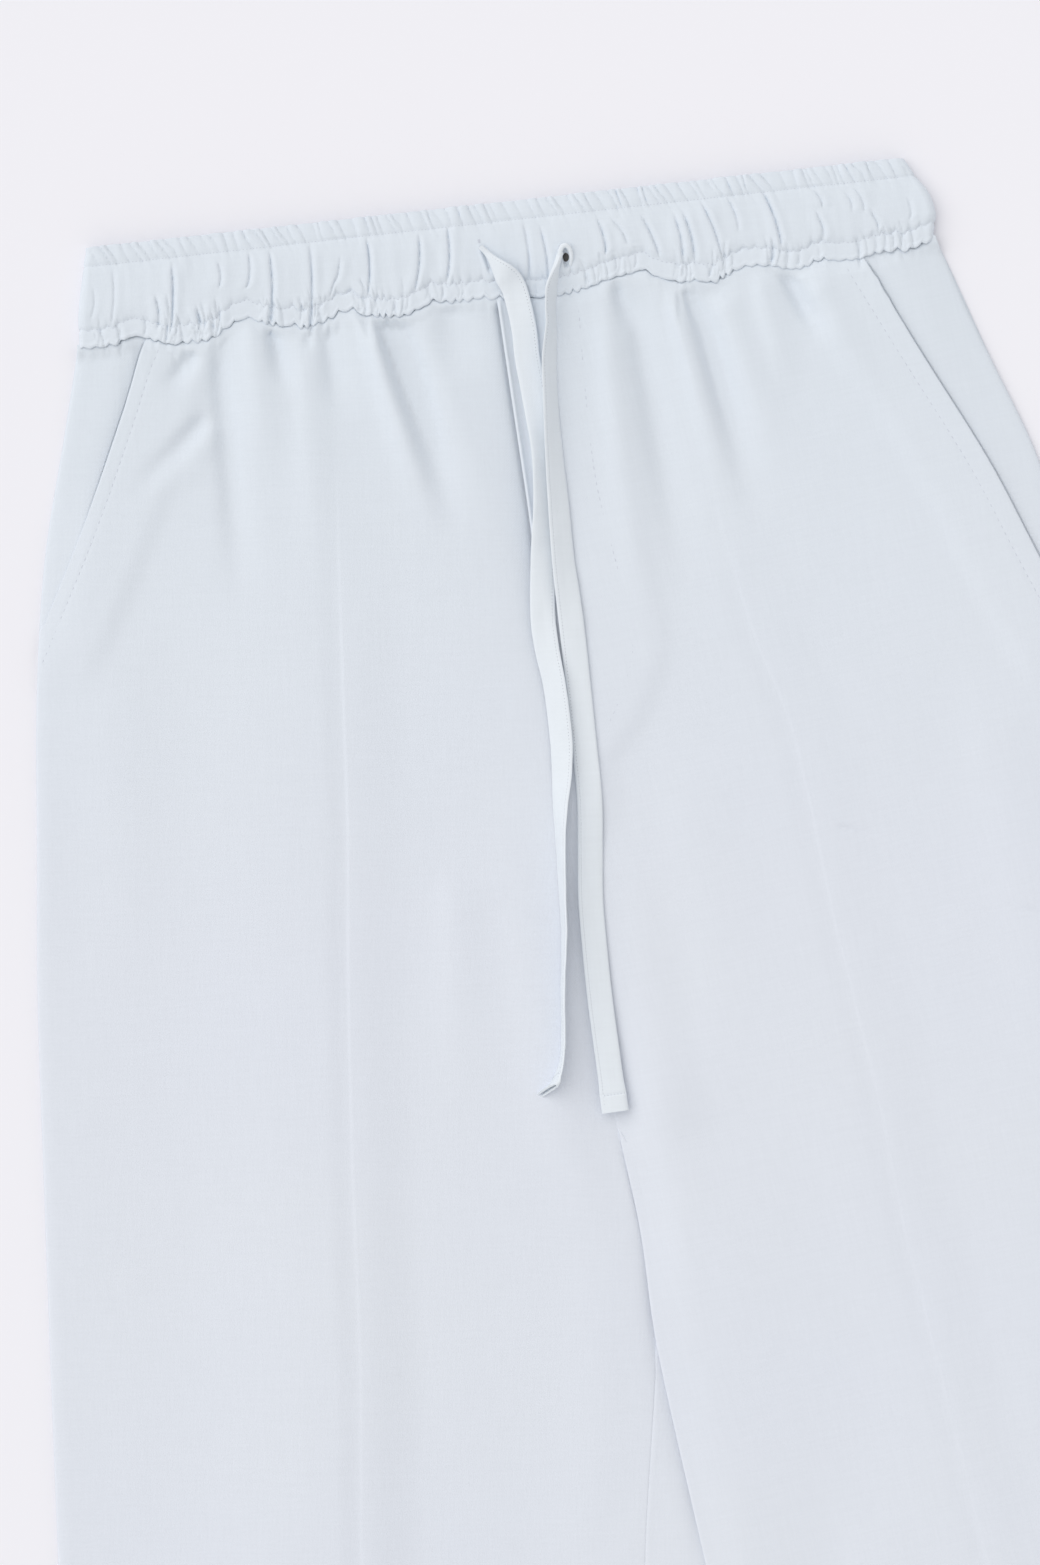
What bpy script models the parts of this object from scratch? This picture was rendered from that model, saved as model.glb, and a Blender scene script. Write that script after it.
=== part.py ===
"""Wide-leg trousers with a gathered drawstring waist, laid flat with the front up."""

import functools
import math

import bpy
import bmesh
from mathutils import Vector

# Frame, in metres. The trousers lie on the plane Z = 0. X runs to the viewer's right, which is the
# wearer's left, and Y runs from the hems to the waist. All tables are in garment coordinates: their
# zero is on the centre front where the waistband meets the fronts, and "down" is measured from there
# towards the hems. GARMENT_ZERO places that zero, so that the whole outline is centred on the origin.
GARMENT_ZERO = (-0.0240, 0.4876)

# Cloth and the gaps between pieces
WALL = 0.0011
SEAM_GAP = 0.0003
LAYER_GAP = 0.0004
LAYER = WALL + LAYER_GAP

# Levels on the garment
CROTCH_DOWN = 0.3490
HEM_TURN = (0.4500, 0.7500)
BAND_HEIGHT = 0.0410

# Wearer's right leg, at the viewer's left. Below the crotch the back is wider than the front: it
# turns round its inner fold and comes back on top as far as the inseam.
RIGHT_LEG = {
    "columns": ("down", "outer", "crease", "inseam", "fold"),
    "rows": (
        (0.000, -0.1807, -0.0715, -0.0040, -0.0040),
        (0.035, -0.1902, -0.0745, -0.0027, -0.0027),
        (0.087, -0.2044, -0.0800, -0.0006, -0.0006),
        (0.145, -0.2142, -0.0846, 0.0000, 0.0000),
        (0.210, -0.2212, -0.0896, 0.0010, 0.0010),
        (0.270, -0.2276, -0.0959, 0.0040, 0.0040),
        (0.349, -0.2336, -0.1030, 0.0084, 0.0092),
        (0.370, -0.2352, -0.1046, 0.0151, 0.0230),
        (0.395, -0.2370, -0.1062, 0.0185, 0.0350),
        (0.443, -0.2405, -0.1098, 0.0143, 0.0393),
        (0.533, -0.2468, -0.1190, -0.0008, 0.0312),
        (0.630, -0.2540, -0.1270, -0.0109, 0.0220),
        (0.800, -0.2662, -0.1410, -0.0218, 0.0110),
        (1.000, -0.2808, -0.1567, -0.0328, 0.0000),
    ),
    "hem_slope": -0.082,
}

# Wearer's left leg, at the viewer's right. Its inner edge lies over the other leg below the crotch.
LEFT_LEG = {
    "columns": ("down", "outer", "crease", "inseam", "fold"),
    "rows": (
        (0.000, 0.1820, 0.0660, -0.0040, -0.0040),
        (0.047, 0.1998, 0.0735, -0.0022, -0.0022),
        (0.093, 0.2154, 0.0785, -0.0005, -0.0005),
        (0.145, 0.2234, 0.0874, 0.0000, 0.0000),
        (0.192, 0.2302, 0.1000, 0.0006, 0.0006),
        (0.272, 0.2392, 0.1088, 0.0041, 0.0041),
        (0.349, 0.2486, 0.1190, 0.0084, 0.0084),
        (0.394, 0.2535, 0.1228, 0.0130, 0.0130),
        (0.443, 0.2588, 0.1290, 0.0146, 0.0146),
        (0.536, 0.2678, 0.1415, 0.0253, 0.0253),
        (0.630, 0.2798, 0.1547, 0.0365, 0.0365),
        (0.800, 0.3022, 0.1777, 0.0569, 0.0569),
        (1.000, 0.3289, 0.2050, 0.0810, 0.0810),
    ),
    "hem_slope": 0.135,
}

# Waist seam: the height of its gathered line along the front
SEAM_LINE = (
    # x, rise
    (-0.1840, 0.0000), (-0.1655, 0.0000), (-0.1590, 0.0020), (-0.1513, 0.0014), (-0.1420, -0.0022),
    (-0.1327, -0.0026), (-0.1240, -0.0018), (-0.1170, 0.0022), (-0.1092, 0.0050), (-0.1010, 0.0022),
    (-0.0920, 0.0000), (-0.0831, -0.0011), (-0.0769, 0.0000), (-0.0700, 0.0032), (-0.0645, 0.0036),
    (-0.0590, 0.0010), (-0.0472, -0.0012), (-0.0398, -0.0002), (-0.0298, 0.0035), (-0.0212, 0.0020),
    (-0.0100, 0.0026), (0.0000, 0.0010), (0.0220, 0.0002), (0.0320, 0.0014), (0.0400, 0.0036),
    (0.0500, 0.0058), (0.0590, 0.0086), (0.0670, 0.0078), (0.0740, 0.0042), (0.0800, 0.0018),
    (0.0910, 0.0003), (0.0970, 0.0026), (0.1060, 0.0050), (0.1160, 0.0058), (0.1240, 0.0018),
    (0.1320, 0.0030), (0.1460, 0.0014), (0.1600, 0.0036), (0.1700, 0.0031), (0.1800, 0.0057),
    (0.1880, 0.0062),
)
SEAM_WAVE_FADE = 0.020
SEAM_PUCKER = 0.22
BACK_SEAM_BEND = 0.1013
BACK_SEAM_SLOPE = 0.072
BACK_SEAM_FADE = 0.0500

# Rise of the fronts over the backs: most at the waistband, gone above the crotch
WAIST_RISE = 0.0022
WAIST_RISE_LENGTH = 0.250
SIDE_ROUNDING = 0.022

# Folds of the fronts below the waistband and along the legs. Width is half a fold's width at its
# middle; height is positive on a ridge and negative in a trough.
FOLDS = (
    # top x, top down, foot x, foot down, width, height
    (-0.0590, 0.0020, -0.0485, 0.0360, 0.0045, -0.0016),
    (-0.0485, 0.0240, -0.0400, 0.1000, 0.0085, -0.0014),
    (-0.0430, 0.0050, -0.0475, 0.0360, 0.0040, -0.0010),
    (-0.0540, 0.0200, -0.0580, 0.0900, 0.0090, 0.0010),
    (-0.0370, 0.0100, -0.0290, 0.0950, 0.0090, 0.0010),
    (-0.1000, 0.0020, -0.0960, 0.0300, 0.0040, -0.0013),
    (-0.1080, 0.0040, -0.1060, 0.0700, 0.0090, 0.0012),
    (-0.0765, 0.0040, -0.0760, 0.0900, 0.0060, -0.0012),
    (-0.0660, 0.0060, -0.0680, 0.0800, 0.0070, 0.0010),
    (-0.0870, 0.0060, -0.0900, 0.1200, 0.0090, 0.0010),
    (-0.1225, 0.0030, -0.1280, 0.0900, 0.0060, -0.0014),
    (-0.1330, 0.0040, -0.1480, 0.0240, 0.0040, -0.0012),
    (-0.1300, 0.0330, -0.1680, 0.0680, 0.0050, -0.0010),
    (-0.1260, 0.0390, -0.1640, 0.0730, 0.0060, 0.0009),
    (0.0440, 0.0020, 0.0485, 0.0260, 0.0030, -0.0016),
    (0.0535, 0.0040, 0.0600, 0.0900, 0.0080, 0.0012),
    (0.0625, 0.0040, 0.0900, 0.1300, 0.0070, -0.0013),
    (0.0700, 0.0080, 0.0900, 0.0900, 0.0060, 0.0010),
    (0.0750, 0.0020, 0.1000, 0.0980, 0.0065, -0.0018),
    (0.0880, 0.0060, 0.1080, 0.0900, 0.0080, 0.0011),
    (0.1160, 0.0000, 0.1320, 0.0330, 0.0045, -0.0018),
    (0.1270, 0.0080, 0.1520, 0.0620, 0.0080, 0.0010),
    (0.1060, 0.0040, 0.1150, 0.0600, 0.0060, 0.0008),
    (-0.0490, 0.2350, -0.0560, 0.3600, 0.0120, 0.0007),
    (-0.1800, 0.1200, -0.1900, 0.3200, 0.0200, 0.0006),
    (0.0500, 0.2000, 0.0640, 0.4200, 0.0180, 0.0006),
    (0.1800, 0.1800, 0.2040, 0.4200, 0.0200, 0.0006),
    (-0.2000, 0.5200, -0.2200, 0.8200, 0.0200, 0.0006),
    (-0.0750, 0.5400, -0.0850, 0.8400, 0.0200, 0.0006),
    (0.0900, 0.5200, 0.1200, 0.8200, 0.0200, 0.0006),
    (0.2150, 0.5600, 0.2500, 0.8600, 0.0200, 0.0006),
)
FOLD_START = 0.12
CREASE_TOP = 0.0700
CREASE_HEIGHT = 0.0008
CREASE_WIDTH = 0.0100

# Pockets: the slanted opening cut off each front's corner, and the side piece that shows outside it
POCKET_OPENINGS = {
    "right": {"side": -1, "end": 0.1150, "rows": (
        # down, x
        (0.0000, -0.1515), (0.0036, -0.1530), (0.0719, -0.1850), (0.1150, -0.2080), (0.1400, -0.2220),
    )},
    "left": {"side": 1, "end": 0.1650, "rows": (
        (0.0000, 0.1504), (0.0450, 0.1725), (0.0905, 0.1945), (0.1325, 0.2110), (0.1650, 0.2245),
        (0.1900, 0.2350),
    )},
}
POCKET_PIECE_COLUMNS = (3, 4)
POCKET_PIECE_INSIDE = 0.0180
POCKET_LIFT_MARGIN = 0.0070
POCKET_LIFT_FADE = 0.0120

# Fly: the wearer's left front folds at the centre front, over a facing with a J-shaped edge
FLY_EDGE = (
    # down, width from the centre front
    (0.0000, 0.0340), (0.0450, 0.0310), (0.0787, 0.0300), (0.1043, 0.0325), (0.1301, 0.0362),
    (0.1471, 0.0370), (0.1554, 0.0356), (0.1675, 0.0305), (0.1800, 0.0235), (0.1900, 0.0150),
    (0.1960, 0.0080),
)
FLY_DOWN = 0.1960
FLY_OVERLAP = 0.0030
FLY_FACING_DROP = 0.0002
FLY_FACING_TOP_GAP = 0.0010
FLY_LIFT_MARGIN = 0.0070
FLY_LIFT_FADE = 0.0120
FLY_CLOSE = (0.1760, 0.1960)
FLY_LIFT_END = (0.2060, 0.2300)

# Where the left leg rises over the right one
CROSSING_RISE = 2.0 * WALL + LAYER_GAP + 0.0005
CROSSING_START = (0.2900, 0.3480)
CROSSING_MARGIN = 0.0060
CROSSING_FADE = 0.0600

# Waistband: one loop with a ruffled heading, an elasticated channel and a stitched strip
BAND_SIDES = (
    # height, left end, right end
    (0.0000, -0.1806, 0.1812), (0.0090, -0.1796, 0.1828), (0.0200, -0.1777, 0.1826),
    (0.0270, -0.1762, 0.1805), (0.0330, -0.1750, 0.1770), (0.0410, -0.1735, 0.1730),
)
BAND_SECTION = (
    # height, wall, ruffle, gather
    (0.0000, 0.0018, 0.0000, 0.0002),
    (0.0036, 0.0023, 0.0000, 0.0003),
    (0.0068, 0.0018, 0.0000, 0.0004),
    (0.0095, 0.0027, 0.0000, 0.0008),
    (0.0130, 0.0032, 0.0000, 0.0010),
    (0.0200, 0.0035, 0.0001, 0.0010),
    (0.0270, 0.0032, 0.0002, 0.0009),
    (0.0305, 0.0027, 0.0003, 0.0007),
    (0.0332, 0.0018, 0.0005, 0.0002),
    (0.0368, 0.0024, 0.0008, 0.0000),
    (0.0410, 0.0017, 0.0008, 0.0000),
)
BAND_BACK_WALL = 0.0030
BAND_INSIDE_GAP = 0.0006
BAND_SEAM_FOLLOW = (0.0068, 0.0200)
RUFFLES = 48
COLUMNS_PER_RUFFLE = 4
RUFFLE_START = 0.0368
RUFFLE_SCALLOP = 0.0006
BAND_END_STEPS = 5
BAND_BACK_STEPS = 18

# Gathers of the channel: a narrow trough with a soft ridge beside it
GATHERS = (
    # x at the heading, x at the strip, depth
    (-0.1660, -0.1640, 0.6), (-0.1480, -0.1455, 0.9), (-0.1395, -0.1425, 1.0), (-0.1290, -0.1265, 0.6),
    (-0.1195, -0.1205, 0.8), (-0.1065, -0.1095, 0.6), (-0.0985, -0.0975, 1.0), (-0.0880, -0.0890, 0.5),
    (-0.0805, -0.0800, 0.9), (-0.0685, -0.0735, 0.8), (-0.0570, -0.0565, 1.0), (-0.0460, -0.0480, 0.5),
    (-0.0345, -0.0360, 0.9), (-0.0230, -0.0228, 1.0), (-0.0130, -0.0120, 0.6), (0.0060, 0.0095, 0.8),
    (0.0150, 0.0190, 0.9), (0.0390, 0.0420, 0.9), (0.0470, 0.0545, 0.8), (0.0560, 0.0640, 0.9),
    (0.0730, 0.0765, 1.0), (0.0810, 0.0870, 0.8), (0.0900, 0.0990, 0.9), (0.0990, 0.1070, 0.6),
    (0.1130, 0.1190, 1.0), (0.1300, 0.1360, 0.7), (0.1400, 0.1480, 0.6), (0.1510, 0.1560, 0.9),
    (0.1660, 0.1690, 0.6),
)
GATHER_TROUGH = 0.0022
GATHER_RIDGE = 0.0040
GATHER_RIDGE_OFFSET = 0.0055

# Buttonholes in the channel, where the drawstring comes out
BUTTONHOLES = (
    # x, height of the middle, half width, depth
    (-0.0069, 0.0200, 0.0013, 0.0016),
    (0.0259, 0.0200, 0.0013, 0.0016),
)
BUTTONHOLE_HALF_HEIGHT = 0.0070

# Drawstring: a flat tie of the same cloth. The points are the middle of the tie, and roll is how far
# it turns from lying flat.
TIE_WIDTH = 0.0106
TIE_THICKNESS = 0.0012
TIE_STEP = 0.0070
DRAWSTRING_RIGHT = (
    # x, down, z, roll in degrees
    (-0.0105, -0.0225, 0.0116, -50.0),
    (-0.0058, -0.0170, 0.0116, -38.0),
    (-0.0003, -0.0112, 0.0108, -25.0),
    (0.0026, -0.0074, 0.0092, -12.0),
    (0.0042, -0.0029, 0.0083, -8.0),
    (0.0061, 0.0119, 0.0080, -4.0),
    (0.0062, 0.0254, 0.0076, 0.0),
    (0.0075, 0.0424, 0.0080, 4.0),
    (0.0084, 0.0637, 0.0091, 22.0),
    (0.0069, 0.0846, 0.0092, 26.0),
    (0.0035, 0.1096, 0.0078, 10.0),
    (0.0008, 0.1338, 0.0062, -4.0),
    (0.0010, 0.1474, 0.0066, -15.0),
    (0.0024, 0.1619, 0.0070, -27.0),
    (0.0027, 0.1856, 0.0070, -28.0),
    (0.0015, 0.1990, 0.0074, -38.0),
    (-0.0006, 0.2122, 0.0081, -54.0),
    (-0.0022, 0.2270, 0.0083, -68.0),
    (-0.0036, 0.2470, 0.0084, -75.0),
    (-0.0049, 0.2663, 0.0084, -80.0),
    (-0.0070, 0.2813, 0.0084, -83.0),
    (-0.0088, 0.2950, 0.0084, -84.0),
    (-0.0098, 0.3067, 0.0084, -84.0),
    (-0.0116, 0.3184, 0.0084, -84.0),
    (-0.0138, 0.3240, 0.0084, -82.0),
    (-0.0165, 0.3282, 0.0084, -80.0),
    (-0.0192, 0.3309, 0.0084, -76.0),
)
DRAWSTRING_LEFT = (
    (0.0256, -0.0165, 0.0124, 60.0),
    (0.0222, -0.0090, 0.0124, 60.0),
    (0.0195, -0.0027, 0.0119, 62.0),
    (0.0182, 0.0047, 0.0119, 65.0),
    (0.0175, 0.0123, 0.0119, 65.0),
    (0.0152, 0.0264, 0.0116, 55.0),
    (0.0139, 0.0431, 0.0113, 55.0),
    (0.0129, 0.0642, 0.0109, 46.0),
    (0.0124, 0.0852, 0.0100, 35.0),
    (0.0118, 0.1105, 0.0090, 26.0),
    (0.0123, 0.1359, 0.0072, 7.0),
    (0.0123, 0.1613, 0.0061, 2.0),
    (0.0121, 0.1866, 0.0056, 0.0),
    (0.0118, 0.2119, 0.0054, 0.0),
    (0.0098, 0.2328, 0.0044, 5.0),
    (0.0077, 0.2537, 0.0045, 9.0),
    (0.0071, 0.2748, 0.0045, 8.0),
    (0.0070, 0.2959, 0.0046, 4.0),
    (0.0076, 0.3213, 0.0055, 0.0),
    (0.0082, 0.3429, 0.0064, 0.0),
)

# Rows and columns of the panels
FRONT_ROWS = (
    0.0000, 0.0030, 0.0080, 0.0150, 0.0240, 0.0350, 0.0500, 0.0700, 0.0950, 0.1200, 0.1450, 0.1700,
    0.1960, 0.2080, 0.2300, 0.2700, 0.3100, 0.3490, 0.3800, 0.4200, 0.4700, 0.5300, 0.6300, 0.7500,
    0.8800, 1.0000,
)
BACK_ROWS = (
    0.0000, 0.0500, 0.1100, 0.1800, 0.2400, 0.2900, 0.3200, 0.3490, 0.3600, 0.3740, 0.3950, 0.4250,
    0.4700, 0.5300, 0.6300, 0.7500, 0.8800, 1.0000,
)
FRONT_COLUMNS_INSIDE = 12
FRONT_COLUMNS_OUTSIDE = 14
BACK_COLUMNS_INSIDE = 9
BACK_COLUMNS_OUTSIDE = 3
WRAP_COLUMNS = 2
FOLD_STEPS = 4

CLOTH_COLOUR = (0.700, 0.730, 0.800, 1.0)
CLOTH_ROUGHNESS = 0.85


def smoothstep(start, end, value):
    """0 at start, 1 at end, with a soft run between them."""
    t = min(max((value - start) / (end - start), 0.0), 1.0)
    return t * t * (3.0 - 2.0 * t)


def along_table(rows, value, column=1):
    """Value of one column of a table of rows, on a smooth curve through its points."""
    last = len(rows) - 1
    if value <= rows[0][0]:
        return rows[0][column]
    if value >= rows[last][0]:
        return rows[last][column]
    k = 0
    while rows[k + 1][0] < value:
        k += 1

    def slope(i):
        before = max(i - 1, 0)
        after = min(i + 1, last)
        return (rows[after][column] - rows[before][column]) / (rows[after][0] - rows[before][0])

    width = rows[k + 1][0] - rows[k][0]
    t = (value - rows[k][0]) / width
    start = rows[k][column]
    end = rows[k + 1][column]
    return (
        (2 * t ** 3 - 3 * t ** 2 + 1) * start
        + (t ** 3 - 2 * t ** 2 + t) * width * slope(k)
        + (3 * t ** 2 - 2 * t ** 3) * end
        + (t ** 3 - t ** 2) * width * slope(k + 1)
    )


def leg_at(leg, down, name):
    """One named edge or line of a leg at a distance down."""
    return along_table(leg["rows"], down, leg["columns"].index(name))


def centre_line(down):
    """The centre front and centre back, from the waist to the crotch."""
    return leg_at(LEFT_LEG, min(down, CROTCH_DOWN), "inseam")


def pocket_edge(pocket, down):
    """The slanted opening, from the waist seam to the side."""
    return along_table(pocket["rows"], down)


def fly_underlap(down):
    """How far the right front reaches under the left one along the fly."""
    return FLY_OVERLAP * (1.0 - smoothstep(FLY_CLOSE[0], FLY_CLOSE[1], down))


def right_front_inner(down):
    """The right front passes under the left one along the fly, then ends at the centre and its inseam."""
    return leg_at(RIGHT_LEG, down, "inseam") - SEAM_GAP + fly_underlap(down)


def left_front_inner(down):
    """The left front ends at the centre front, then at its inseam."""
    return leg_at(LEFT_LEG, down, "inseam") + SEAM_GAP


def spread(start, middle, end, first, second):
    """Evenly spaced values from start to middle, then to end."""
    values = [start + (middle - start) * k / first for k in range(first)]
    values += [middle + (end - middle) * k / second for k in range(second + 1)]
    return values


def front_columns(leg, pocket, down):
    """Places across a front, from its inner edge past the crease to the pocket opening or the side."""
    side = pocket["side"]
    inner = left_front_inner(down) if side > 0 else right_front_inner(down)
    outer = leg_at(leg, down, "outer")
    if down < pocket["end"]:
        outer = side * min(side * outer, side * pocket_edge(pocket, down))
    crease = leg_at(leg, down, "crease")
    return spread(inner, crease, outer, FRONT_COLUMNS_INSIDE, FRONT_COLUMNS_OUTSIDE)


def pocket_columns(leg, pocket, down):
    """Places across a pocket's side piece: the front's last columns, then on to the side."""
    under, outside = POCKET_PIECE_COLUMNS
    columns = front_columns(leg, pocket, down)[-under - 1:]
    outer = leg_at(leg, down, "outer")
    return columns + [columns[-1] + (outer - columns[-1]) * k / outside for k in range(1, outside + 1)]


@functools.lru_cache
def seam_stops():
    """The points where the pieces' columns meet the waist seam, from right to left, with its height."""
    stops = set()
    for leg, pocket in ((RIGHT_LEG, POCKET_OPENINGS["right"]), (LEFT_LEG, POCKET_OPENINGS["left"])):
        stops.update(front_columns(leg, pocket, 0.0))
        stops.update(pocket_columns(leg, pocket, 0.0))
    return [(x, along_table(SEAM_LINE, x)) for x in sorted(stops)]


def seam_rise(x):
    """Height of the waist seam above its zero, straight between the stops."""
    stops = seam_stops()
    if x <= stops[0][0]:
        return stops[0][1]
    for (x0, rise0), (x1, rise1) in zip(stops, stops[1:]):
        if x <= x1:
            return rise0 + (rise1 - rise0) * (x - x0) / (x1 - x0)
    return stops[-1][1]


def back_seam_rise(x):
    """Height of the waist seam on the backs, which only rises towards the wearer's left side."""
    return BACK_SEAM_SLOPE * max(x - BACK_SEAM_BEND, 0.0)


def fold_height(x, down):
    """Sum of the folds of the fronts at one point."""
    total = 0.0
    for top_x, top_down, foot_x, foot_down, width, height in FOLDS:
        run = math.hypot(foot_x - top_x, foot_down - top_down)
        along_x = (foot_x - top_x) / run
        along_down = (foot_down - top_down) / run
        t = ((x - top_x) * along_x + (down - top_down) * along_down) / run
        if -0.2 < t < 1.2:
            across = (x - top_x) * along_down - (down - top_down) * along_x
            spread = width * (0.7 + 0.6 * t)
            strength = smoothstep(-0.05, FOLD_START, t) * (1.0 - smoothstep(0.35, 1.0, t))
            total += height * strength * math.exp(-((across / spread) ** 2))
    return total


def crease_height(x, down):
    """The pressed crease down the middle of each front."""
    leg = LEFT_LEG if x > centre_line(down) else RIGHT_LEG
    distance = abs(x - leg_at(leg, down, "crease"))
    return CREASE_HEIGHT * smoothstep(CREASE_TOP, 2.0 * CREASE_TOP, down) * math.exp(-distance / CREASE_WIDTH)


def crossing_rise(x, down):
    """How far the left leg is lifted where it lies over the right one."""
    fold = leg_at(RIGHT_LEG, max(down, CROTCH_DOWN), "fold") + CROSSING_MARGIN
    beside = 1.0 - smoothstep(fold, fold + CROSSING_FADE, x)
    return CROSSING_RISE * beside * smoothstep(CROSSING_START[0], CROSSING_START[1], down)


def front_base(x, down):
    """Underside of the fronts where nothing but a back lies under them."""
    leg = LEFT_LEG if x > centre_line(down) else RIGHT_LEG
    from_side = abs(leg_at(leg, down, "outer") - x)
    side = smoothstep(0.0, SIDE_ROUNDING, from_side)
    rise = WAIST_RISE * (1.0 - smoothstep(0.0, WAIST_RISE_LENGTH, down))
    pucker = SEAM_PUCKER * seam_rise(x) * math.exp(-down / SEAM_WAVE_FADE)
    soft = (rise + pucker + fold_height(x, down) + crease_height(x, down)) * side
    return LAYER + max(soft, 0.0)


def pocket_lift(x, down):
    """How far a front is lifted over the side piece of its pocket."""
    total = 0.0
    for pocket in POCKET_OPENINGS.values():
        side = pocket["side"]
        inside = side * (pocket_edge(pocket, down) - x)
        reach = POCKET_PIECE_INSIDE + POCKET_LIFT_MARGIN
        across = 1.0 - smoothstep(reach, reach + POCKET_LIFT_FADE, inside)
        if side * x > 0.0:
            length = 1.0 - smoothstep(pocket["end"] + 0.008, pocket["end"] + 0.034, down)
            total += LAYER * across * length
    return total


def fly_lift(x, down):
    """How far the left front is lifted over the fly facing."""
    edge = centre_line(down) + along_table(FLY_EDGE, down) + FLY_LIFT_MARGIN
    across = 1.0 - smoothstep(edge, edge + FLY_LIFT_FADE, x)
    return LAYER * across * (1.0 - smoothstep(FLY_LIFT_END[0], FLY_LIFT_END[1], down))


def right_front_under(x, down):
    """Underside of the wearer's right front."""
    return front_base(x, down) + pocket_lift(x, down)


def left_front_under(x, down):
    """Underside of the wearer's left front."""
    return front_base(x, down) + pocket_lift(x, down) + fly_lift(x, down) + crossing_rise(x, down)


def garment_point(x, down, z, lift_seam=0.0):
    """A garment point in the object's own frame."""
    return Vector((x + GARMENT_ZERO[0], GARMENT_ZERO[1] - down + lift_seam, z))


def hem_shift(leg, x, down):
    """How far a point moves down as its leg's rows turn square to the splayed crease."""
    slant = smoothstep(HEM_TURN[0], HEM_TURN[1], down) * leg["hem_slope"]
    return -slant * (x - leg_at(leg, down, "crease"))


def row_shift(leg, x, down):
    """How far a front row's points move down: the seam's waves at the top, the slant of the hem below."""
    return hem_shift(leg, x, down) - seam_rise(x) * math.exp(-((down / SEAM_WAVE_FADE) ** 2))


def cloth_material():
    """Pale cotton, used by every piece."""
    material = bpy.data.materials.new("pale_cotton")
    material.use_nodes = True
    shader = material.node_tree.nodes["Principled BSDF"]
    shader.inputs["Base Color"].default_value = CLOTH_COLOUR
    shader.inputs["Roughness"].default_value = CLOTH_ROUGHNESS
    shader.inputs["Metallic"].default_value = 0.0
    material.diffuse_color = CLOTH_COLOUR
    return material


def add_object(name, verts, faces, material):
    """One closed body as a named object, faces pointing out."""
    mesh = bpy.data.meshes.new(name)
    mesh.from_pydata([tuple(v) for v in verts], [], faces)
    body = bmesh.new()
    body.from_mesh(mesh)
    bmesh.ops.recalc_face_normals(body, faces=body.faces)
    bmesh.ops.triangulate(body, faces=body.faces)
    body.to_mesh(mesh)
    body.free()
    mesh.shade_smooth()
    mesh.set_sharp_from_angle(angle=math.radians(40.0))
    mesh.materials.append(material)
    item = bpy.data.objects.new(name, mesh)
    bpy.context.scene.collection.objects.link(item)
    return item


def wall_from_sheet(name, points, quads, thickness, material):
    """A wall of even thickness: the sheet's points moved both ways along its normals, edges closed."""
    normals = [Vector((0.0, 0.0, 0.0)) for _ in points]
    for quad in quads:
        a, b, c, d = (points[i] for i in quad)
        normal = (c - a).cross(d - b)
        for i in quad:
            normals[i] += normal
    normals = [n.normalized() for n in normals]
    count = len(points)
    verts = [p + n * thickness / 2 for p, n in zip(points, normals)]
    verts += [p - n * thickness / 2 for p, n in zip(points, normals)]
    faces = [tuple(quad) for quad in quads]
    faces += [tuple(i + count for i in reversed(quad)) for quad in quads]
    directed = {(quad[k], quad[(k + 1) % 4]) for quad in quads for k in range(4)}
    for a, b in sorted(directed):
        if (b, a) not in directed:
            faces.append((b, a, a + count, b + count))
    return add_object(name, verts, faces, material)


def grid_quads(rows, columns):
    """Faces of a grid of points stored row by row."""
    quads = []
    for i in range(rows - 1):
        for j in range(columns - 1):
            a = i * columns + j
            quads.append((a, a + 1, a + 1 + columns, a + columns))
    return quads


def make_front(name, leg, pocket, under, material):
    """A front: rows from the waist seam to the hem, columns from its inner edge past the crease."""
    points = []
    for down in FRONT_ROWS:
        for x in front_columns(leg, pocket, down):
            low = down + row_shift(leg, x, down) + (SEAM_GAP if down == 0.0 else 0.0)
            points.append(garment_point(x, low, under(x, down) + WALL / 2))
    count = FRONT_COLUMNS_INSIDE + FRONT_COLUMNS_OUTSIDE + 1
    return wall_from_sheet(name, points, grid_quads(len(FRONT_ROWS), count), WALL, material)


def back_row(leg, x, down):
    """How far down a back's point lies: below its own seam at the top, on the hem's slant below."""
    gap = SEAM_GAP if down == 0.0 else 0.0
    rise = back_seam_rise(x) * (1.0 - smoothstep(0.0, BACK_SEAM_FADE, down))
    return down + gap - rise + hem_shift(leg, x, down)


def make_back_left(material):
    """The wearer's left back, flat on the ground and lifted where it crosses the other leg."""
    points = []
    for down in BACK_ROWS:
        inner = leg_at(LEFT_LEG, down, "fold") + SEAM_GAP
        middle = inner + 0.105
        outer = leg_at(LEFT_LEG, down, "outer")
        for x in spread(inner, middle, outer, BACK_COLUMNS_INSIDE, BACK_COLUMNS_OUTSIDE):
            low = back_row(LEFT_LEG, x, down)
            points.append(garment_point(x, low, crossing_rise(x, down) + WALL / 2))
    count = BACK_COLUMNS_INSIDE + BACK_COLUMNS_OUTSIDE + 1
    return wall_from_sheet("back_left", points, grid_quads(len(BACK_ROWS), count), WALL, material)


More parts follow.
